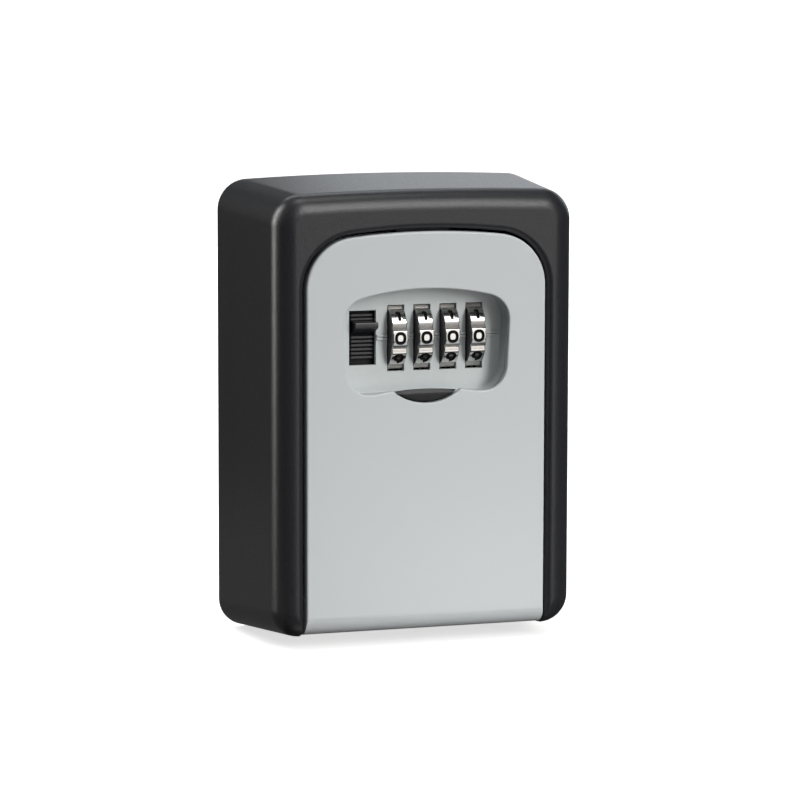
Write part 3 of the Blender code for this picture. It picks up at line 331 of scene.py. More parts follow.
def grown(outline, distance):
    """The outline with every point moved outwards along the bisector of its two edges."""
    points = []
    for index, (x, z) in enumerate(outline):
        before = Vector((x - outline[index - 1][0], z - outline[index - 1][1])).normalized()
        after = outline[(index + 1) % len(outline)]
        after = Vector((after[0] - x, after[1] - z)).normalized()
        outward = Vector((before.y + after.y, -before.x - after.x)).normalized()
        reach = distance / max(0.4, outward.dot(Vector((after.y, -after.x))))
        points.append((x + outward.x * reach, z + outward.y * reach))
    return points


def body_outline(y, inset=0.0):
    return arched_outline(
        BODY_WIDTH / 2 + y * math.tan(SIDE_DRAFT) - inset,
        -BODY_HEIGHT / 2 - y * math.tan(BASE_DRAFT) + inset,
        BODY_HEIGHT / 2 + y * math.tan(TOP_DRAFT) - inset,
        BODY_ARCH_RADIUS,
        max(BODY_TOP_RADIUS - inset, SMALLEST_RADIUS),
        max(BODY_BASE_RADIUS - inset, SMALLEST_RADIUS),
    )


def door_outline(inset=0.0, bottom=SHELL_LOW.z - PAST):
    return arched_outline(
        DOOR_HIGH.x - inset, bottom, DOOR_HIGH.z - inset, DOOR_ARCH_RADIUS, DOOR_TOP_RADIUS - inset,
        SMALLEST_RADIUS,
    )


def tapered(outline):
    return [(x * (1 + WINDOW_TAPER * (z - WINDOW_WIDEST)), z) for x, z in outline]


def window_outline(margin=0.0):
    """The window without its notch."""
    return tapered(arched_outline(
        WINDOW_HALF_WIDTH + margin, WINDOW_BOTTOM - margin, WINDOW_TOP + margin, WINDOW_ARCH_RADIUS,
        WINDOW_TOP_RADIUS + margin, WINDOW_BOTTOM_RADIUS + margin,
    ))


def notch_arc(margin, top, steps=28):
    """The notch's round bottom, up to this height."""
    centre = WINDOW_BOTTOM - NOTCH_DEPTH + NOTCH_RADIUS
    radius = NOTCH_RADIUS - margin
    reach = math.acos((centre - top) / radius)
    return arc((0, centre), radius, -QUARTER - reach, -QUARTER + reach, steps)


def notched_window(steps=12):
    """The window with its lower edge swept up to the two points of the notch."""
    notch = notch_arc(0, WINDOW_BOTTOM + LIP_RISE)
    cusp = notch[-1][0]
    foot = []
    for step in range(steps + 1):
        share = step / steps
        x = LIP_START + (cusp - LIP_START) * share
        foot.append((x, WINDOW_BOTTOM + LIP_RISE * share ** 2 * (3 - 2 * share)))
    sides = window_outline()
    right = tapered(foot)[::-1]
    left = [(-x, z) for x, z in reversed(right)]
    return left[:-1] + notch + right[1:] + sides


# ---------------------------------------------------------------- solids

AXES = {
    "X": lambda place, a, b: (place, a, b),
    "Y": lambda place, a, b: (a, place, b),
}


def add(name, data):
    obj = bpy.data.objects.new(name, data)
    bpy.context.scene.collection.objects.link(obj)
    return obj


def from_bmesh(name, bm):
    bmesh.ops.recalc_face_normals(bm, faces=bm.faces)
    mesh = bpy.data.meshes.new(name)
    bm.to_mesh(mesh)
    bm.free()
    return add(name, mesh)


def loft(name, sections, axis="Y"):
    """Closed solid through (place along the axis, outline) sections with the same number of points."""
    bm = bmesh.new()
    put = AXES[axis]
    rings = [[bm.verts.new(put(place, a, b)) for a, b in outline] for place, outline in sections]
    for near, far in zip(rings, rings[1:]):
        for index in range(len(near)):
            after = (index + 1) % len(near)
            bm.faces.new((near[index], near[after], far[after], far[index]))
    bm.faces.new(rings[0])
    bm.faces.new(rings[-1])
    return from_bmesh(name, bm)


def prism(name, outline, start, end, axis="Y"):
    return loft(name, [(start, outline), (end, outline)], axis)


def rod(name, axis, centre, start, end, radius, segments=64):
    """Cylinder along the axis."""
    return prism(name, circle(centre, radius, segments), start, end, axis)


def rods_at(name, places, start, end, radius):
    """One rod along Y at each place."""
    return [rod(f"{name}_{index}", "Y", place.xz, start, end, radius) for index, place in enumerate(places)]


def block(name, low, high, edge=0.0, segments=3):
    """Box, with its edges rounded by this much."""
    bm = bmesh.new()
    bmesh.ops.create_cube(bm, size=1)
    low, high = Vector(low), Vector(high)
    bmesh.ops.scale(bm, vec=high - low, verts=bm.verts)
    bmesh.ops.translate(bm, vec=(low + high) / 2, verts=bm.verts)
    if edge:
        bmesh.ops.bevel(
            bm, geom=bm.edges, offset=edge, segments=segments, profile=0.5, affect="EDGES",
            clamp_overlap=True,
        )
    return from_bmesh(name, bm)


def flared(name, outline, face, depth, radius, steps=6):
    """Cutter through a front face at y = face, down to y = depth, that rounds the mouth it cuts."""
    sections = [(face - PAST, grown(outline, radius))]
    for angle in quarter_turn(steps):
        rim = grown(outline, radius * (1 - math.sin(angle)))
        sections.append((face + radius * (1 - math.cos(angle)), rim))
    return loft(name, sections + [(depth, outline)])


def evaluated_mesh(obj):
    """New mesh of a curve, or of a solid with its modifiers applied."""
    bpy.context.view_layer.update()
    graph = bpy.context.evaluated_depsgraph_get()
    return bpy.data.meshes.new_from_object(obj.evaluated_get(graph))


def combine(target, operation, others):
    """Applies Booleans to the target, one after another, and removes the other solids."""
    for other in others:
        modifier = target.modifiers.new(other.name, "BOOLEAN")
        modifier.operation = operation
        modifier.object = other
        modifier.material_mode = "TRANSFER"
    mesh = evaluated_mesh(target)
    target.modifiers.clear()
    target.data = mesh
    for other in others:
        bpy.data.objects.remove(other)


def cut(target, *others):
    combine(target, "DIFFERENCE", others)


def join(target, *others):
    combine(target, "UNION", others)


def finish_piece(obj, body, node, material, sharp=35):
    """Smooth shading up to this angle in degrees, a material if none is there, and the piece's place."""
    mesh = obj.data
    if not any(mesh.materials):
        mesh.materials.clear()
        mesh.materials.append(material)
    mesh.shade_smooth()
    mesh.set_sharp_from_angle(angle=math.radians(sharp))
    weighted = obj.modifiers.new("flat_faces_stay_flat", "WEIGHTED_NORMAL")
    weighted.keep_sharp = True
    weighted.weight = 80
    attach(obj, body)
    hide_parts(node)


# ---------------------------------------------------------------- materials


class Finish:
    """Builds one procedural material: a Principled shader with noise in colour, roughness and height."""

    def __init__(self, name, colour, roughness, metallic=0.0):
        self.material = bpy.data.materials.new(name)
        self.material.use_nodes = True
        self.nodes = self.material.node_tree.nodes
        self.links = self.material.node_tree.links
        self.shader = self.nodes["Principled BSDF"]
        self.colour = colour
        self.set("Base Color", (*colour, 1))
        self.set("Roughness", roughness)
        self.set("Metallic", metallic)
        self.place = self.nodes.new("ShaderNodeTexCoord").outputs["Object"]
        self.height = None

    def set(self, socket, value):
        self.shader.inputs[socket].default_value = value
        return self

    def noise(self, grain, detail=3.0, stretch=(1, 1, 1)):
        """Noise whose features are about this size, in metres."""
        mapping = self.nodes.new("ShaderNodeMapping")
        mapping.inputs["Scale"].default_value = [1 / (grain * share) for share in stretch]
        self.links.new(self.place, mapping.inputs["Vector"])
        noise = self.nodes.new("ShaderNodeTexNoise")
        noise.inputs["Scale"].default_value = 1
        noise.inputs["Detail"].default_value = detail
        self.links.new(mapping.outputs["Vector"], noise.inputs["Vector"])
        return noise.outputs["Fac"]

    def spread(self, source, low, high):
        """Maps the noise's middle range onto low to high."""
        ranged = self.nodes.new("ShaderNodeMapRange")
        self.links.new(source, ranged.inputs["Value"])
        for socket, value in (("From Min", 0.3), ("From Max", 0.7), ("To Min", low), ("To Max", high)):
            ranged.inputs[socket].default_value = value
        return ranged.outputs["Result"]

    def mottle(self, grain, low, high, detail=3.0):
        """Varies the colour between low and high times the base, half and half with any mottle before."""
        mix = self.nodes.new("ShaderNodeMix")
        mix.data_type = "RGBA"
        self.links.new(self.spread(self.noise(grain, detail), 0, 1), mix.inputs["Factor"])
        previous = self.shader.inputs["Base Color"].links
        for socket, share in (("A", low), ("B", high)):
            mix.inputs[socket].default_value = (*[min(1, part * share) for part in self.colour], 1)
        if previous:
            blend = self.nodes.new("ShaderNodeMix")
            blend.data_type = "RGBA"
            blend.inputs["Factor"].default_value = 0.5
            self.links.new(previous[0].from_socket, blend.inputs["A"])
            self.links.new(mix.outputs["Result"], blend.inputs["B"])
            mix = blend
        self.links.new(mix.outputs["Result"], self.shader.inputs["Base Color"])
        return self

    def polish(self, grain, low, high):
        """Roughness that varies from low to high."""
        self.links.new(self.spread(self.noise(grain), low, high), self.shader.inputs["Roughness"])
        return self

    def bump(self, grain, height, detail=3.0, stretch=(1, 1, 1)):
        """Adds relief of about this height, in metres, under any relief added before."""
        bump = self.nodes.new("ShaderNodeBump")
        bump.inputs["Strength"].default_value = 1
        bump.inputs["Distance"].default_value = height
        self.links.new(self.noise(grain, detail, stretch), bump.inputs["Height"])
        if self.height:
            self.links.new(self.height, bump.inputs["Normal"])
        self.height = bump.outputs["Normal"]
        self.links.new(self.height, self.shader.inputs["Normal"])
        return self


def make_materials():
    black = Finish("black_powder_coat", (0.0165, 0.0172, 0.02), 0.34)
    black.mottle(0.5 * MM, 0.8, 1.2).polish(0.45 * MM, 0.3, 0.4)
    black.bump(2.2 * MM, 0.02 * MM, 1).bump(0.42 * MM, 0.026 * MM, 2).set("Specular IOR Level", 0.72)

    grey = Finish("silver_grey_coat", (0.545, 0.575, 0.59), 0.42)
    grey.mottle(0.16 * MM, 0.965, 1.035, 2).polish(0.3 * MM, 0.38, 0.46)
    grey.bump(1.5 * MM, 0.006 * MM, 1).bump(0.16 * MM, 0.006 * MM, 2)

    moulded = Finish("grey_moulding", (0.55, 0.588, 0.592), 0.4)
    moulded.mottle(3 * MM, 0.98, 1.02).polish(0.6 * MM, 0.36, 0.44)
    moulded.bump(1.2 * MM, 0.006 * MM, 2)

    chrome = Finish("bright_chrome", (0.80, 0.785, 0.76), 0.1, 1.0)
    chrome.mottle(1.5 * MM, 0.96, 1.02).polish(0.5 * MM, 0.07, 0.16)
    chrome.bump(1.5 * MM, 0.002 * MM, 1)

    groove = Finish("satin_chrome", (0.78, 0.74, 0.71), 0.34, 1.0)
    groove.mottle(0.6 * MM, 0.9, 1.05).polish(0.3 * MM, 0.28, 0.42)

    side = Finish("dark_chrome", (0.12, 0.12, 0.125), 0.38, 0.9)
    side.mottle(0.8 * MM, 0.8, 1.2).polish(0.4 * MM, 0.3, 0.46)
    side.bump(0.4 * MM, 0.004 * MM, 2)

    paint = Finish("numeral_paint", (0.008, 0.008, 0.009), 0.5)
    paint.mottle(0.3 * MM, 0.7, 1.3).bump(0.2 * MM, 0.004 * MM).set("Specular IOR Level", 0.08)

    plastic = Finish("black_moulding", (0.018, 0.0185, 0.021), 0.3)
    plastic.mottle(0.6 * MM, 0.85, 1.15).polish(0.5 * MM, 0.26, 0.36)
    plastic.bump(0.3 * MM, 0.004 * MM, 2).set("Specular IOR Level", 0.9)

    satin = Finish("satin_black_moulding", (0.009, 0.0095, 0.0105), 0.4)
    satin.mottle(0.6 * MM, 0.85, 1.15).polish(0.5 * MM, 0.36, 0.46)
    satin.bump(0.3 * MM, 0.005 * MM, 2)

    # Release slide's plate: a rougher copy of the black moulding that is also darker. The roughness is a
    # finish; the darker colour is painted shade between and below the ribs.
    matt = Finish("matt_black_moulding_painted_shade", (0.010, 0.010, 0.011), 0.7)
    matt.mottle(0.6 * MM, 0.8, 1.2).bump(0.3 * MM, 0.006 * MM, 2)

    zinc = Finish("cast_zinc", (0.50, 0.505, 0.51), 0.42, 0.95)
    zinc.mottle(4 * MM, 0.86, 1.08, 4).mottle(0.5 * MM, 0.92, 1.06).polish(1.2 * MM, 0.36, 0.55)
    zinc.bump(0.5 * MM, 0.012 * MM)

    steel = Finish("plated_steel", (0.62, 0.615, 0.6), 0.28, 1.0)
    steel.mottle(1.2 * MM, 0.9, 1.08).polish(0.5 * MM, 0.2, 0.36)
    steel.bump(0.15 * MM, 0.003 * MM, 2, (6, 1, 1))

    spring = Finish("spring_steel", (0.36, 0.355, 0.35), 0.3, 1.0)
    spring.mottle(0.8 * MM, 0.8, 1.15).polish(0.3 * MM, 0.22, 0.38)
    spring.bump(0.1 * MM, 0.003 * MM, 2, (1, 1, 6))

    dark = Finish("blackened_steel", (0.03, 0.03, 0.032), 0.4, 0.6)
    dark.mottle(1.5 * MM, 0.75, 1.25).polish(0.6 * MM, 0.32, 0.5)
    dark.bump(0.3 * MM, 0.004 * MM, 2)

    brass = Finish("yellow_brass", (0.72, 0.53, 0.25), 0.32, 1.0)
    brass.mottle(2 * MM, 0.94, 1.04, 2).polish(0.6 * MM, 0.3, 0.38)
    brass.bump(0.15 * MM, 0.004 * MM, 2, (1, 5, 1))

    return {
        "black_coat": black.material, "grey_coat": grey.material, "grey_housing": moulded.material,
        "chrome": chrome.material, "paint": paint.material, "black_plastic": plastic.material,
        "zinc": zinc.material, "steel": steel.material, "spring_steel": spring.material,
        "brass": brass.material, "blackened_steel": dark.material, "groove": groove.material,
        "dial_side": side.material, "matt_plastic_painted_shade": matt.material, "satin_plastic": satin.material,
    }


# ---------------------------------------------------------------- body


def make_body(materials):
    sections = []
    for angle in quarter_turn(4):
        y = -BACK_EDGE * (1 - math.cos(angle))
        sections.append((y, body_outline(y, BACK_EDGE * (1 - math.sin(angle)))))
    for angle in quarter_turn(12):
        y = FRONT + FRONT_FILLET * (1 - math.sin(angle))
        sections.append((y, body_outline(y, FRONT_FILLET * (1 - math.cos(angle)))))
    body = loft("body_casting", sections)

    inside = FRONT + BEZEL_THICKNESS
    places = [(-WALL - distance * MM, margin * MM) for distance, margin in CAVITY_BACK]
    places += [(inside + distance * MM, margin * MM) for distance, margin in CAVITY_FRONT]
    cavity = loft("cavity", [(y, body_outline(y, WALL + margin)) for y, margin in places])
    for index, (start, end) in enumerate(both_sides(*HINGE_BOSS)):
        cut(cavity, rod(f"hinge_boss_{index}", "X", HINGE, start, end, HINGE_BOSS_RADIUS))

    flare = [(inside + PAST, door_outline(-DOOR_GAP))]
    for angle in quarter_turn(8):
        y = FRONT + BEZEL_EDGE * (1 - math.sin(angle))
        flare.append((y, door_outline(-DOOR_GAP - BEZEL_EDGE * (1 - math.cos(angle)))))
    flare.append((FRONT - PAST, flare[-1][1]))
    opening = loft("door_opening", flare)
    side = DOOR_HIGH.x + DOOR_GAP
    barrel_room = rod("barrel_room", "X", HINGE, -side, side, BARREL_ROOM, segments=128)
    sill = block(
        "sill", (-side, FRONT - PAST, SHELL_LOW.z - PAST), (side, HINGE_Y + SILL_BACK, HINGE_Z + SILL_TOP)
    )
    cutters = [cavity, opening, barrel_room, sill]
    for sign_x in (-1, 1):
        for sign_z in (-1, 1):
            centre = (sign_x * WALL_HOLE[0], sign_z * WALL_HOLE[1])
            cutters.append(loft(f"wall_hole_{sign_x}_{sign_z}", [
                (place * MM, circle(centre, WALL_HOLE_RADIUS + growth * MM))
                for place, growth in WALL_HOLE_SECTIONS
            ]))
    reach = PIN_HIGH.x + PIN_END_ROOM
    cutters.append(rod("pin_hole", "X", HINGE, -reach, reach, PIN_HOLE_RADIUS, segments=32))
    cut(body, *cutters)
    finish_piece(body, "body", "body_shell", materials["black_coat"])


# ---------------------------------------------------------------- door


def make_door(materials):
    back = FRONT + SKIN
    wrap_end = 2 * math.pi + math.acos((back - HINGE_Y) / BARREL_RADIUS)
    wrap = arc(HINGE, BARREL_RADIUS, math.pi, wrap_end, 110)
    profile = [(FRONT, DOOR_HIGH.z + PAST), *wrap, (back, DOOR_HIGH.z + PAST)]
    side = DOOR_HIGH.x + PAST
    door = prism("door_leaf", profile, -side, side, "X")
    trim = [(FRONT - PAST, door_outline(DOOR_EDGE))]
    for angle in quarter_turn(6):
        rim = door_outline(DOOR_EDGE * (1 - math.sin(angle)))
        trim.append((FRONT + DOOR_EDGE * (1 - math.cos(angle)), rim))
    trim.append((HINGE_Y + 2 * BARREL_RADIUS, door_outline()))
    combine(door, "INTERSECT", [loft("door_trim", trim)])

    foot, end = HINGE_Z + FLANGE_RISE, FRONT + FLANGE_DEPTH
    flange = prism("flange", door_outline(FLANGE_INSET, foot), FRONT + OVERLAP, end)
    inner = door_outline(FLANGE_INSET + FLANGE_WALL, foot + FLANGE_WALL)
    cut(flange, prism("flange_hollow", inner, FRONT, end + PAST))
    added = [flange]
    rail = SHUTTER_HIGH.x + RAIL_GAP
    for index, (left, right) in enumerate(both_sides(rail, rail + RAIL_THICKNESS)):
        added.append(block(
            f"rail_{index}", (left, FRONT + OVERLAP, HOUSING_LOW.z), (right, RAIL_BACK, HOUSING_HIGH.z)
        ))
    added += rods_at("door_boss", EAR_PLACES, FRONT + OVERLAP, DOOR_BOSS_BACK, DOOR_BOSS_RADIUS)
    join(door, *added)

    cutters = [flared("window", notched_window(), FRONT, back + PAST, WINDOW_EDGE)]
    cutters.append(block(
        "tongue_notch", (-TONGUE_NOTCH_HALF_WIDTH, back, DOOR_HIGH.z - TONGUE_NOTCH_HEIGHT),
        (TONGUE_NOTCH_HALF_WIDTH, end + PAST, DOOR_HIGH.z + PAST),
    ))
    for index, (left, right) in enumerate(both_sides(*BARREL_BORE)):
        cutters.append(rod(f"barrel_bore_{index}", "X", HINGE, left, right, PIN_HOLE_RADIUS, segments=32))
    cutters += rods_at("boss_hole", EAR_PLACES, DOOR_HOLE_FRONT, DOOR_BOSS_BACK + PAST, SCREW_HOLE_RADIUS)
    cut(door, *cutters)
    finish_piece(door, "door", "door_panel", materials["grey_coat"])


# ---------------------------------------------------------------- housing


def floor_slot(name, x, z, size):
    """Cutter for a slot through the recess's floor."""
    half_x, half_z = size[0] / 2, size[1] / 2
    outline = rectangle(x - half_x, z - half_z, x + half_x, z + half_z)
    return flared(name, outline, FLOOR_FRONT, FLOOR_BACK + PAST, SLOT_EDGE, 3)


def make_housing(materials):
    front, back = HOUSING_LOW.y, HOUSING_HIGH.y
    half = SHUTTER_HIGH.x + HOUSING_MARGIN
    low, high = HOUSING_FOOT, HOUSING_HIGH.z
    housing = block("lock_housing", (-half, front, low), (half, back, high))
    added = [block("apron", (-half, front, HOUSING_LOW.z), (half, front + APRON_THICKNESS, low + OVERLAP))]
    left, right = both_sides(half - OVERLAP, HOUSING_HIGH.x)
    for index, place in enumerate(EAR_PLACES):
        start, end = right if place.x > 0 else left
        added.append(block(
            f"ear_{index}", (start, EAR_FRONT, place.z - EAR_HALF_HEIGHT),
            (end, EAR_BACK, place.z + EAR_HALF_HEIGHT),
        ))
    join(housing, *added)

    tub = block(
        "tub", (-half + HOUSING_WALL, FLOOR_BACK, low + HOUSING_WALL),
        (half - HOUSING_WALL, back + PAST, high - HOUSING_WALL),
    )
    recess = [(front - PAST, window_outline(RECESS_MARGIN))]
    for angle in quarter_turn(6):
        rim = window_outline(RECESS_MARGIN - RECESS_FILLET * (1 - math.cos(angle)))
        recess.append((FLOOR_FRONT - RECESS_FILLET * (1 - math.sin(angle)), rim))
    cut(housing, tub, loft("recess", recess))

    across, up = PILLAR_HALF_SIZE
    added = []
    for index, place in enumerate(PILLAR_PLACES):
        added.append(block(
            f"pillar_{index}", (place.x - across, PILLAR_FRONT, place.z - up),
            (place.x + across, back, place.z + up),
        ))
    web_inset = HOUSING_WALL - OVERLAP
    added.append(block(
        "web", (WEB_X[0], WEB_Y[0], low + web_inset), (WEB_X[1], WEB_Y[1], high - web_inset)
    ))
    for sign in (-1, 1):
        centre = (FLOOR_FRONT - INDEX_LIFT, AXIS_Z + sign * INDEX_OFFSET)
        added.append(rod(f"index_line_{sign}", "X", centre, *INDEX_X, INDEX_RADIUS, segments=16))
    join(housing, *added)

    cutters = []
    reach = DIAL_SLOT[0] / 2 - DIAL_ROOM_EASE
    for index, centre in enumerate(DIAL_CENTRES):
        x = centre.x
        cutters.append(floor_slot(f"dial_slot_{index}", x, DIAL_SLOT_Z, DIAL_SLOT))
        cutters.append(rod(
            f"dial_room_{index}", "X", DIAL_AXIS, x - reach, x + reach, DIAL_ROOM_RADIUS, segments=96
        ))
        cutters.append(rod(f"disc_room_{index}", "X", DIAL_AXIS, x, x + DISC_ROOM_END, DISC_ROOM_RADIUS))
    cutters.append(floor_slot("button_slot", BUTTON_X, AXIS_Z, BUTTON_SLOT))
    cutters.append(block(
        "latch_slot", (-LATCH_SLOT_HALF_WIDTH, LATCH_SLOT_Y[0], high - HOUSING_WALL - PAST),
        (LATCH_SLOT_HALF_WIDTH, LATCH_SLOT_Y[1], high + PAST),
    ))
    cutters.append(rod("shaft_hole", "X", DIAL_AXIS, *SHAFT_HOLE_X, SHAFT_HOLE_RADIUS))
    cutters += rods_at("pillar_hole", PILLAR_PLACES, PILLAR_HOLE_FRONT, back + PAST, SCREW_HOLE_RADIUS)
    cutters += rods_at("ear_hole", EAR_PLACES, *EAR_HOLE, SCREW_HOLE_RADIUS)
    cut(housing, *cutters)
    finish_piece(housing, "door", "dial_housing", materials["grey_housing"])


# ---------------------------------------------------------------- dials

# Each numeral is drawn with strokes in a cell that runs from -0.5 to 0.5 both ways. A stroke is a list of two
# ends or an ellipse's arc: centre x, centre y, radius x, radius y, start and end in degrees.
STROKES = {
    0: [(0, 0, 0.5, 0.5, 0, 360)],
    1: [[(-0.25, 0.27), (0.08, 0.48)], [(0.08, 0.5), (0.08, -0.54)]],
    2: [(0, 0.2, 0.44, 0.3, 165, -35), [(0.36, 0.03), (-0.42, -0.5)], [(-0.42, -0.5), (0.46, -0.5)]],
    3: [(0, 0.25, 0.4, 0.25, 150, -90), (0, -0.25, 0.45, 0.25, 90, -150)],
    4: [[(0.2, -0.5), (0.2, 0.5)], [(0.2, 0.5), (-0.45, -0.2)], [(-0.45, -0.2), (0.48, -0.2)]],
    5: [[(0.38, 0.5), (-0.3, 0.5)], [(-0.3, 0.5), (-0.36, 0.06)], (0, -0.17, 0.45, 0.33, 143, -150)],
    6: [(0, -0.18, 0.44, 0.32, 0, 360), (0.36, -0.18, 0.8, 0.68, 105, 180)],
    7: [[(-0.45, 0.5), (0.43, 0.5)], [(0.43, 0.5), (-0.1, -0.5)]],
    8: [(0, 0.25, 0.37, 0.25, 0, 360), (0, -0.25, 0.45, 0.25, 0, 360)],
    9: [(0, 0.18, 0.44, 0.32, 0, 360), (-0.36, 0.18, 0.8, 0.68, -75, 0)],
}


def fuller(value):
    """Turns an ellipse's sine or cosine into a slightly squarer curve's."""
    return math.copysign(abs(value) ** SQUARENESS, value)


def stroke_points(stroke):
    """A stroke's points, and whether it closes on itself."""
    if isinstance(stroke, list):
        start, end = Vector(stroke[0]), Vector(stroke[1])
        return [start.lerp(end, step / 6) for step in range(7)], False
    x, y, radius_x, radius_y, start, end = stroke
    closed = abs(end - start) == 360
    count = 40 if closed else 24
    angles = [math.radians(start + (end - start) * step / count) for step in range(count + (not closed))]
    return [
        (x + radius_x * fuller(math.cos(angle)), y + radius_y * fuller(math.sin(angle))) for angle in angles
    ], closed


def numeral_cutters(digit, paint):
    """Round-nosed engraving paths of one numeral, bent round the wheel about the X axis at the origin."""
    turn = digit * 2 * math.pi / LANDS
    radius = DIAL_RADIUS + STROKE_LIFT
    cutters = []
    for index, stroke in enumerate(STROKES[digit]):
        name = f"numeral_{digit}_{index}"
        curve = bpy.data.curves.new(name, "CURVE")
        curve.dimensions = "3D"
        curve.bevel_depth = STROKE_RADIUS
        curve.bevel_resolution = 3
        curve.use_fill_caps = True
        points, closed = stroke_points(stroke)
        spline = curve.splines.new("POLY")
        spline.points.add(len(points) - 1)
        spline.use_cyclic_u = closed
        for point, (across, up) in zip(spline.points, points):
            angle = turn + up * DIGIT_SIZE[1] / radius
            point.co = (across * DIGIT_SIZE[0], -radius * math.cos(angle), radius * math.sin(angle), 1)
        drawn = add(name, curve)
        mesh = evaluated_mesh(drawn)
        bpy.data.objects.remove(drawn)
        bm = bmesh.new()
        bm.from_mesh(mesh)
        bmesh.ops.remove_doubles(bm, verts=bm.verts, dist=1e-6)
        cutter = from_bmesh(name, bm)
        cutter.data.materials.append(paint)
        cutters.append(cutter)
    return cutters


def dial_rim(inset):
    """Rim with ten lands and a V-shaped groove with eased edges between each pair."""
    half_land = math.pi / LANDS * LAND_SHARE
    half_groove = math.pi / LANDS - half_land
    eased, lost = FLANK_EASE
    points = []
    for index in range(LANDS):
        middle = index * 2 * math.pi / LANDS
        offsets = [(half_land * (step / 5 - 1), 0) for step in range(11)]
        offsets += [(half_land + half_groove * share, share) for share in GROOVE_FLANK]
        offsets += [(half_land + half_groove * (2 - share), share) for share in reversed(GROOVE_FLANK[:-1])]
        for offset, share in offsets:
            depth = GROOVE_DEPTH * (share - lost * min(1, share / eased))
            radius = DIAL_RADIUS - inset - depth
            angle = middle + offset
            points.append((-radius * math.cos(angle), radius * math.sin(angle)))
    return points


def clutch_outline():
    """Star of ten slots that starts inside the dial's bore."""
    half_inner = math.asin(CLUTCH_SLOT_WIDTH / 2 / CLUTCH_ROOT)
    half_outer = math.asin(CLUTCH_SLOT_WIDTH / 2 / CLUTCH_SLOT_RADIUS)
    points = []
    for index in range(LANDS):
        middle = index * 2 * math.pi / LANDS
        points += [
            (CLUTCH_ROOT, middle - half_inner), (CLUTCH_SLOT_RADIUS, middle - half_outer),
            (CLUTCH_SLOT_RADIUS, middle + half_outer), (CLUTCH_ROOT, middle + half_inner),
        ]
    return [(-radius * math.cos(angle), radius * math.sin(angle)) for radius, angle in points]


def make_dials(materials):
    half = (DIAL_BOXES[0][1].x - DIAL_BOXES[0][0].x) / 2
    sections = [
        (-half + DIAL_EDGE * (1 - math.cos(angle)), dial_rim(DIAL_EDGE * (1 - math.sin(angle))))
        for angle in quarter_turn(4)
    ]
    sections += [(-place, rim) for place, rim in reversed(sections)]
    template = loft("dial_template", sections, "X")
    template.data.materials.append(materials["chrome"])
    bore = rod("bore", "X", (0, 0), -half - PAST, half + PAST, DIAL_BORE, segments=48)
    clutch = prism("clutch", clutch_outline(), half - CLUTCH_DEPTH, half + PAST, "X")
    numerals = [cutter for digit in STROKES for cutter in numeral_cutters(digit, materials["paint"])]
    cut(template, bore, clutch, *numerals)

    # The wheel's two sides are darker than its lands, and its grooves and bore are satin.
    template.data.materials.append(materials["groove"])
    template.data.materials.append(materials["dial_side"])
    names = [material.name for material in template.data.materials]
    chrome, groove, side = [names.index(materials[key].name) for key in ("chrome", "groove", "dial_side")]
    for face in template.data.polygons:
        if face.material_index != chrome:
            continue
        below = DIAL_RADIUS - math.hypot(face.center.y, face.center.z)
        if abs(face.normal.x) > 0.9:
            face.material_index = side
        elif below > SATIN_DEPTH and abs(face.normal.x) < 0.05:
            face.material_index = groove
    for number, centre in enumerate(DIAL_CENTRES, 1):
        mesh = template.data.copy()
        mesh.transform(Matrix.Translation(centre))
        dial = add(f"numbered_dial_{number}", mesh)
        finish_piece(dial, f"dial_{number}", f"dial_wheel_{number}", materials["chrome"], 50)
    bpy.data.objects.remove(template)


# ---------------------------------------------------------------- release slide and shutter


def make_button(materials):
    low, high = BUTTON_LOW, BUTTON_HIGH
    button = block("release_slide", (low.x, SLIDE_FRONT, low.z), (high.x, SLIDE_BACK, high.z))
    # The plate gets the rougher, darker moulding; its darker colour is painted shade round the ribs.
    button.data.materials.append(materials["matt_plastic_painted_shade"])
    added = []
    for index, height in enumerate(RIB_HEIGHTS):
        z = AXIS_Z + height * MM
        added.append(block(
            f"rib_{index}", (RIB_X[0], RIB_Y[0], z - RIB_HALF_HEIGHT),
            (RIB_X[1], RIB_Y[1], z + RIB_HALF_HEIGHT), RIB_EDGE,
        ))
    tip = [(low.y + depth * MM, AXIS_Z + height * MM) for depth, height in THUMB_TIP]
    profile = [(THUMB_ROOT, AXIS_Z + THUMB_FOOT), *tip, (THUMB_ROOT, AXIS_Z + THUMB_HEAD)]
    added.append(prism("thumb", profile, *THUMB_X, "X"))
    added.append(block("arm", (ARM_X[0], SLIDE_FRONT, ARM_Z[0]), (ARM_X[1], high.y, ARM_Z[1])))
    for piece in added:
        piece.data.materials.append(materials["black_plastic"])
    join(button, *added)
    finish_piece(button, "latch", "release_button", materials["black_plastic"])


def make_shutter(materials, steps=12):
    low, high = SHUTTER_LOW, SHUTTER_HIGH
    shutter = block(
        "rain_shutter", (low.x, SHUTTER_FRONT, low.z), (high.x, high.y, SHUTTER_TOP), SHUTTER_EDGE, 2
    )
    sections = []
    for depth, margin, height, rise in TAB_SECTIONS:
        outline = notch_arc(margin * MM, height * MM)
        end = outline[-1][0]
        for step in range(1, 2 * steps):
            share = 1 - step / steps
            outline.append((end * share, (height + rise * (1 - share ** 2)) * MM))
        sections.append((low.y + depth * MM, outline))
    join(shutter, loft("tab", sections))
    finish_piece(shutter, "shutter", "weather_shutter", materials["satin_plastic"])


# ---------------------------------------------------------------- springs, and CAD nodes that stay


def make_springs(materials):
    """The springs have their CAD shape, and sit on the parent side of the joint that presses on them."""
    for joint in frame["joints"]:
        for deforming in joint.get("deforming_nodes", []):
            node = deforming["node"]
            spring = add(f"{node}_coil", frame["nodes"][node].data.copy())
            spring.data.materials.clear()
            finish_piece(spring, joint["parent"], node, materials["spring_steel"], 60)
            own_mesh(spring)


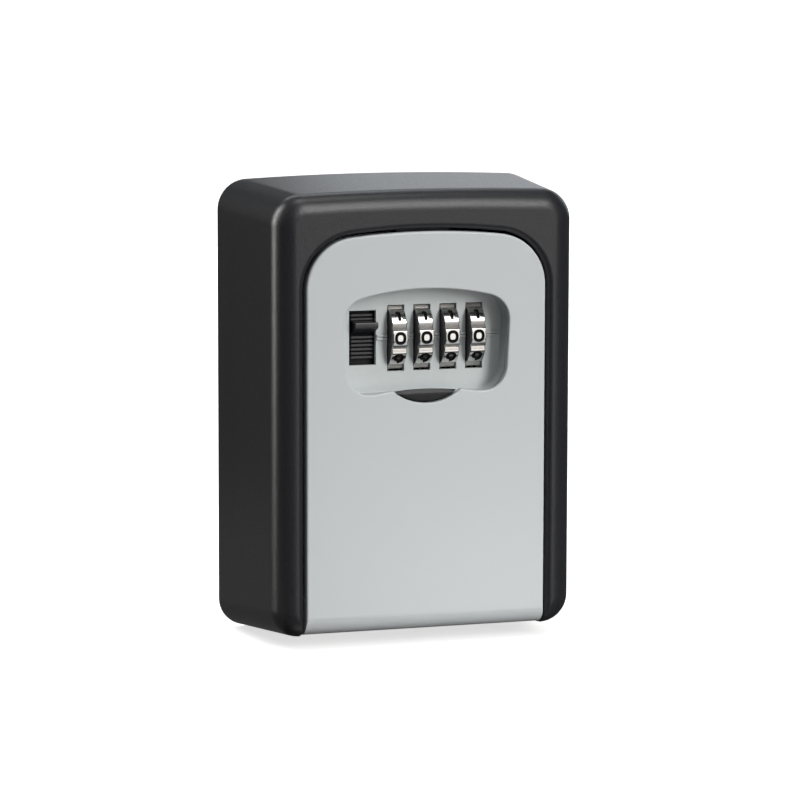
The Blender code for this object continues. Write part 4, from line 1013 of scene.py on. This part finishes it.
def dress_nodes(materials):
    """The small inner pieces keep their CAD meshes, and each gets its slot's material."""
    slots = {part["node"]: part["material_slot"] for part in frame["record"]["subparts"]}
    for name, obj in frame["nodes"].items():
        if obj.hide_render:
            continue
        obj.data.materials.clear()
        obj.data.materials.append(materials[slots[name]])


# ---------------------------------------------------------------- stage, lights and camera


def make_disc(name, radius, place, segments):
    bm = bmesh.new()
    bmesh.ops.create_circle(bm, cap_ends=True, segments=segments, radius=radius)
    disc = from_bmesh(name, bm)
    disc.location = place
    return disc


def make_floor():
    level = SHELL_LOW.z - STUDIO_GAP
    floor = make_disc("studio_floor", STUDIO_RADIUS, (0, 0, level), 96)
    white = Finish("pale_floor", (0.8, 0.8, 0.8), 0.8)
    white.mottle(60 * MM, 0.995, 1.0)
    white.set("Emission Color", (1, 1, 1, 1)).set("Emission Strength", STUDIO_GLOW)
    floor.data.materials.append(white.material)
    floor.visible_glossy = False
    floor.visible_diffuse = False

    # A patch of the floor at the box's left that only its glossy side reflects.
    patch = make_disc("floor_patch", PATCH_RADIUS, (*PATCH_PLACE, level + PATCH_LIFT), 64)
    sheen = Finish("floor_sheen", (0, 0, 0), 1)
    sheen.set("Specular IOR Level", 0)
    sheen.set("Emission Color", (1, 0.99, 1, 1)).set("Emission Strength", PATCH_GLOW)
    patch.data.materials.append(sheen.material)
    patch.visible_camera = False
    patch.visible_diffuse = False
    patch.visible_shadow = False


def area_light(name, azimuth, elevation, distance, size, power, colour, hidden_from):
    """Rectangular soft light aimed at the box. Azimuth 0 is in front of the door and 90 at its right."""
    light = bpy.data.lights.new(name, "AREA")
    light.shape = "RECTANGLE"
    light.size, light.size_y = size
    light.energy = power
    light.color = colour
    obj = add(name, light)
    around, above = math.radians(azimuth), math.radians(elevation)
    direction = Vector((
        math.sin(around) * math.cos(above), -math.cos(around) * math.cos(above), math.sin(above)
    ))
    obj.location = direction * distance
    obj.rotation_euler = (-direction).to_track_quat("-Z", "Y").to_euler()
    obj.visible_camera = False
    obj.visible_diffuse = hidden_from != "diffuse"
    obj.visible_glossy = hidden_from != "glossy"


def make_lights():
    """Fills that light the matt surfaces, and cards that only the glossy ones reflect."""
    world = bpy.data.worlds.new("studio")
    world.use_nodes = True
    background = world.node_tree.nodes["Background"]
    background.inputs["Color"].default_value = (1, 1, 1, 1)
    background.inputs["Strength"].default_value = WORLD_GLOW
    bpy.context.scene.world = world
    sky = bpy.data.lights.new("overhead_sky", "SUN")
    sky.energy = SKY_POWER
    sky.angle = SKY_ANGLE
    add("overhead_sky", sky).visible_glossy = False
    for fill in FILLS:
        area_light(*fill, hidden_from="glossy")
    for card in CARDS:
        area_light(*card, hidden_from="diffuse")


def make_camera():
    camera = bpy.data.cameras.new("photo_angle")
    camera.lens = LENS
    camera.sensor_width = SENSOR_WIDTH
    camera.shift_x, camera.shift_y = LENS_SHIFT
    camera.clip_start = CLIP_START
    obj = add("photo_angle", camera)
    forward = Vector((math.sin(YAW) * math.cos(PITCH), math.cos(YAW) * math.cos(PITCH), -math.sin(PITCH)))
    right = Vector((math.cos(YAW), -math.sin(YAW), 0))
    up = right.cross(forward)
    rolled_right = right * math.cos(ROLL) + up * math.sin(ROLL)
    rolled_up = up * math.cos(ROLL) - right * math.sin(ROLL)
    turn = Matrix((rolled_right, rolled_up, -forward)).transposed().to_4x4()
    obj.matrix_world = Matrix.Translation(CAMERA_TARGET - forward * CAMERA_DISTANCE) @ turn
    bpy.context.scene.camera = obj
    bpy.context.scene.view_settings.view_transform = "Standard"


materials = make_materials()
make_camera()
make_floor()
make_lights()
make_body(materials)
make_door(materials)
make_housing(materials)
make_dials(materials)
make_button(materials)
make_shutter(materials)
make_springs(materials)
dress_nodes(materials)
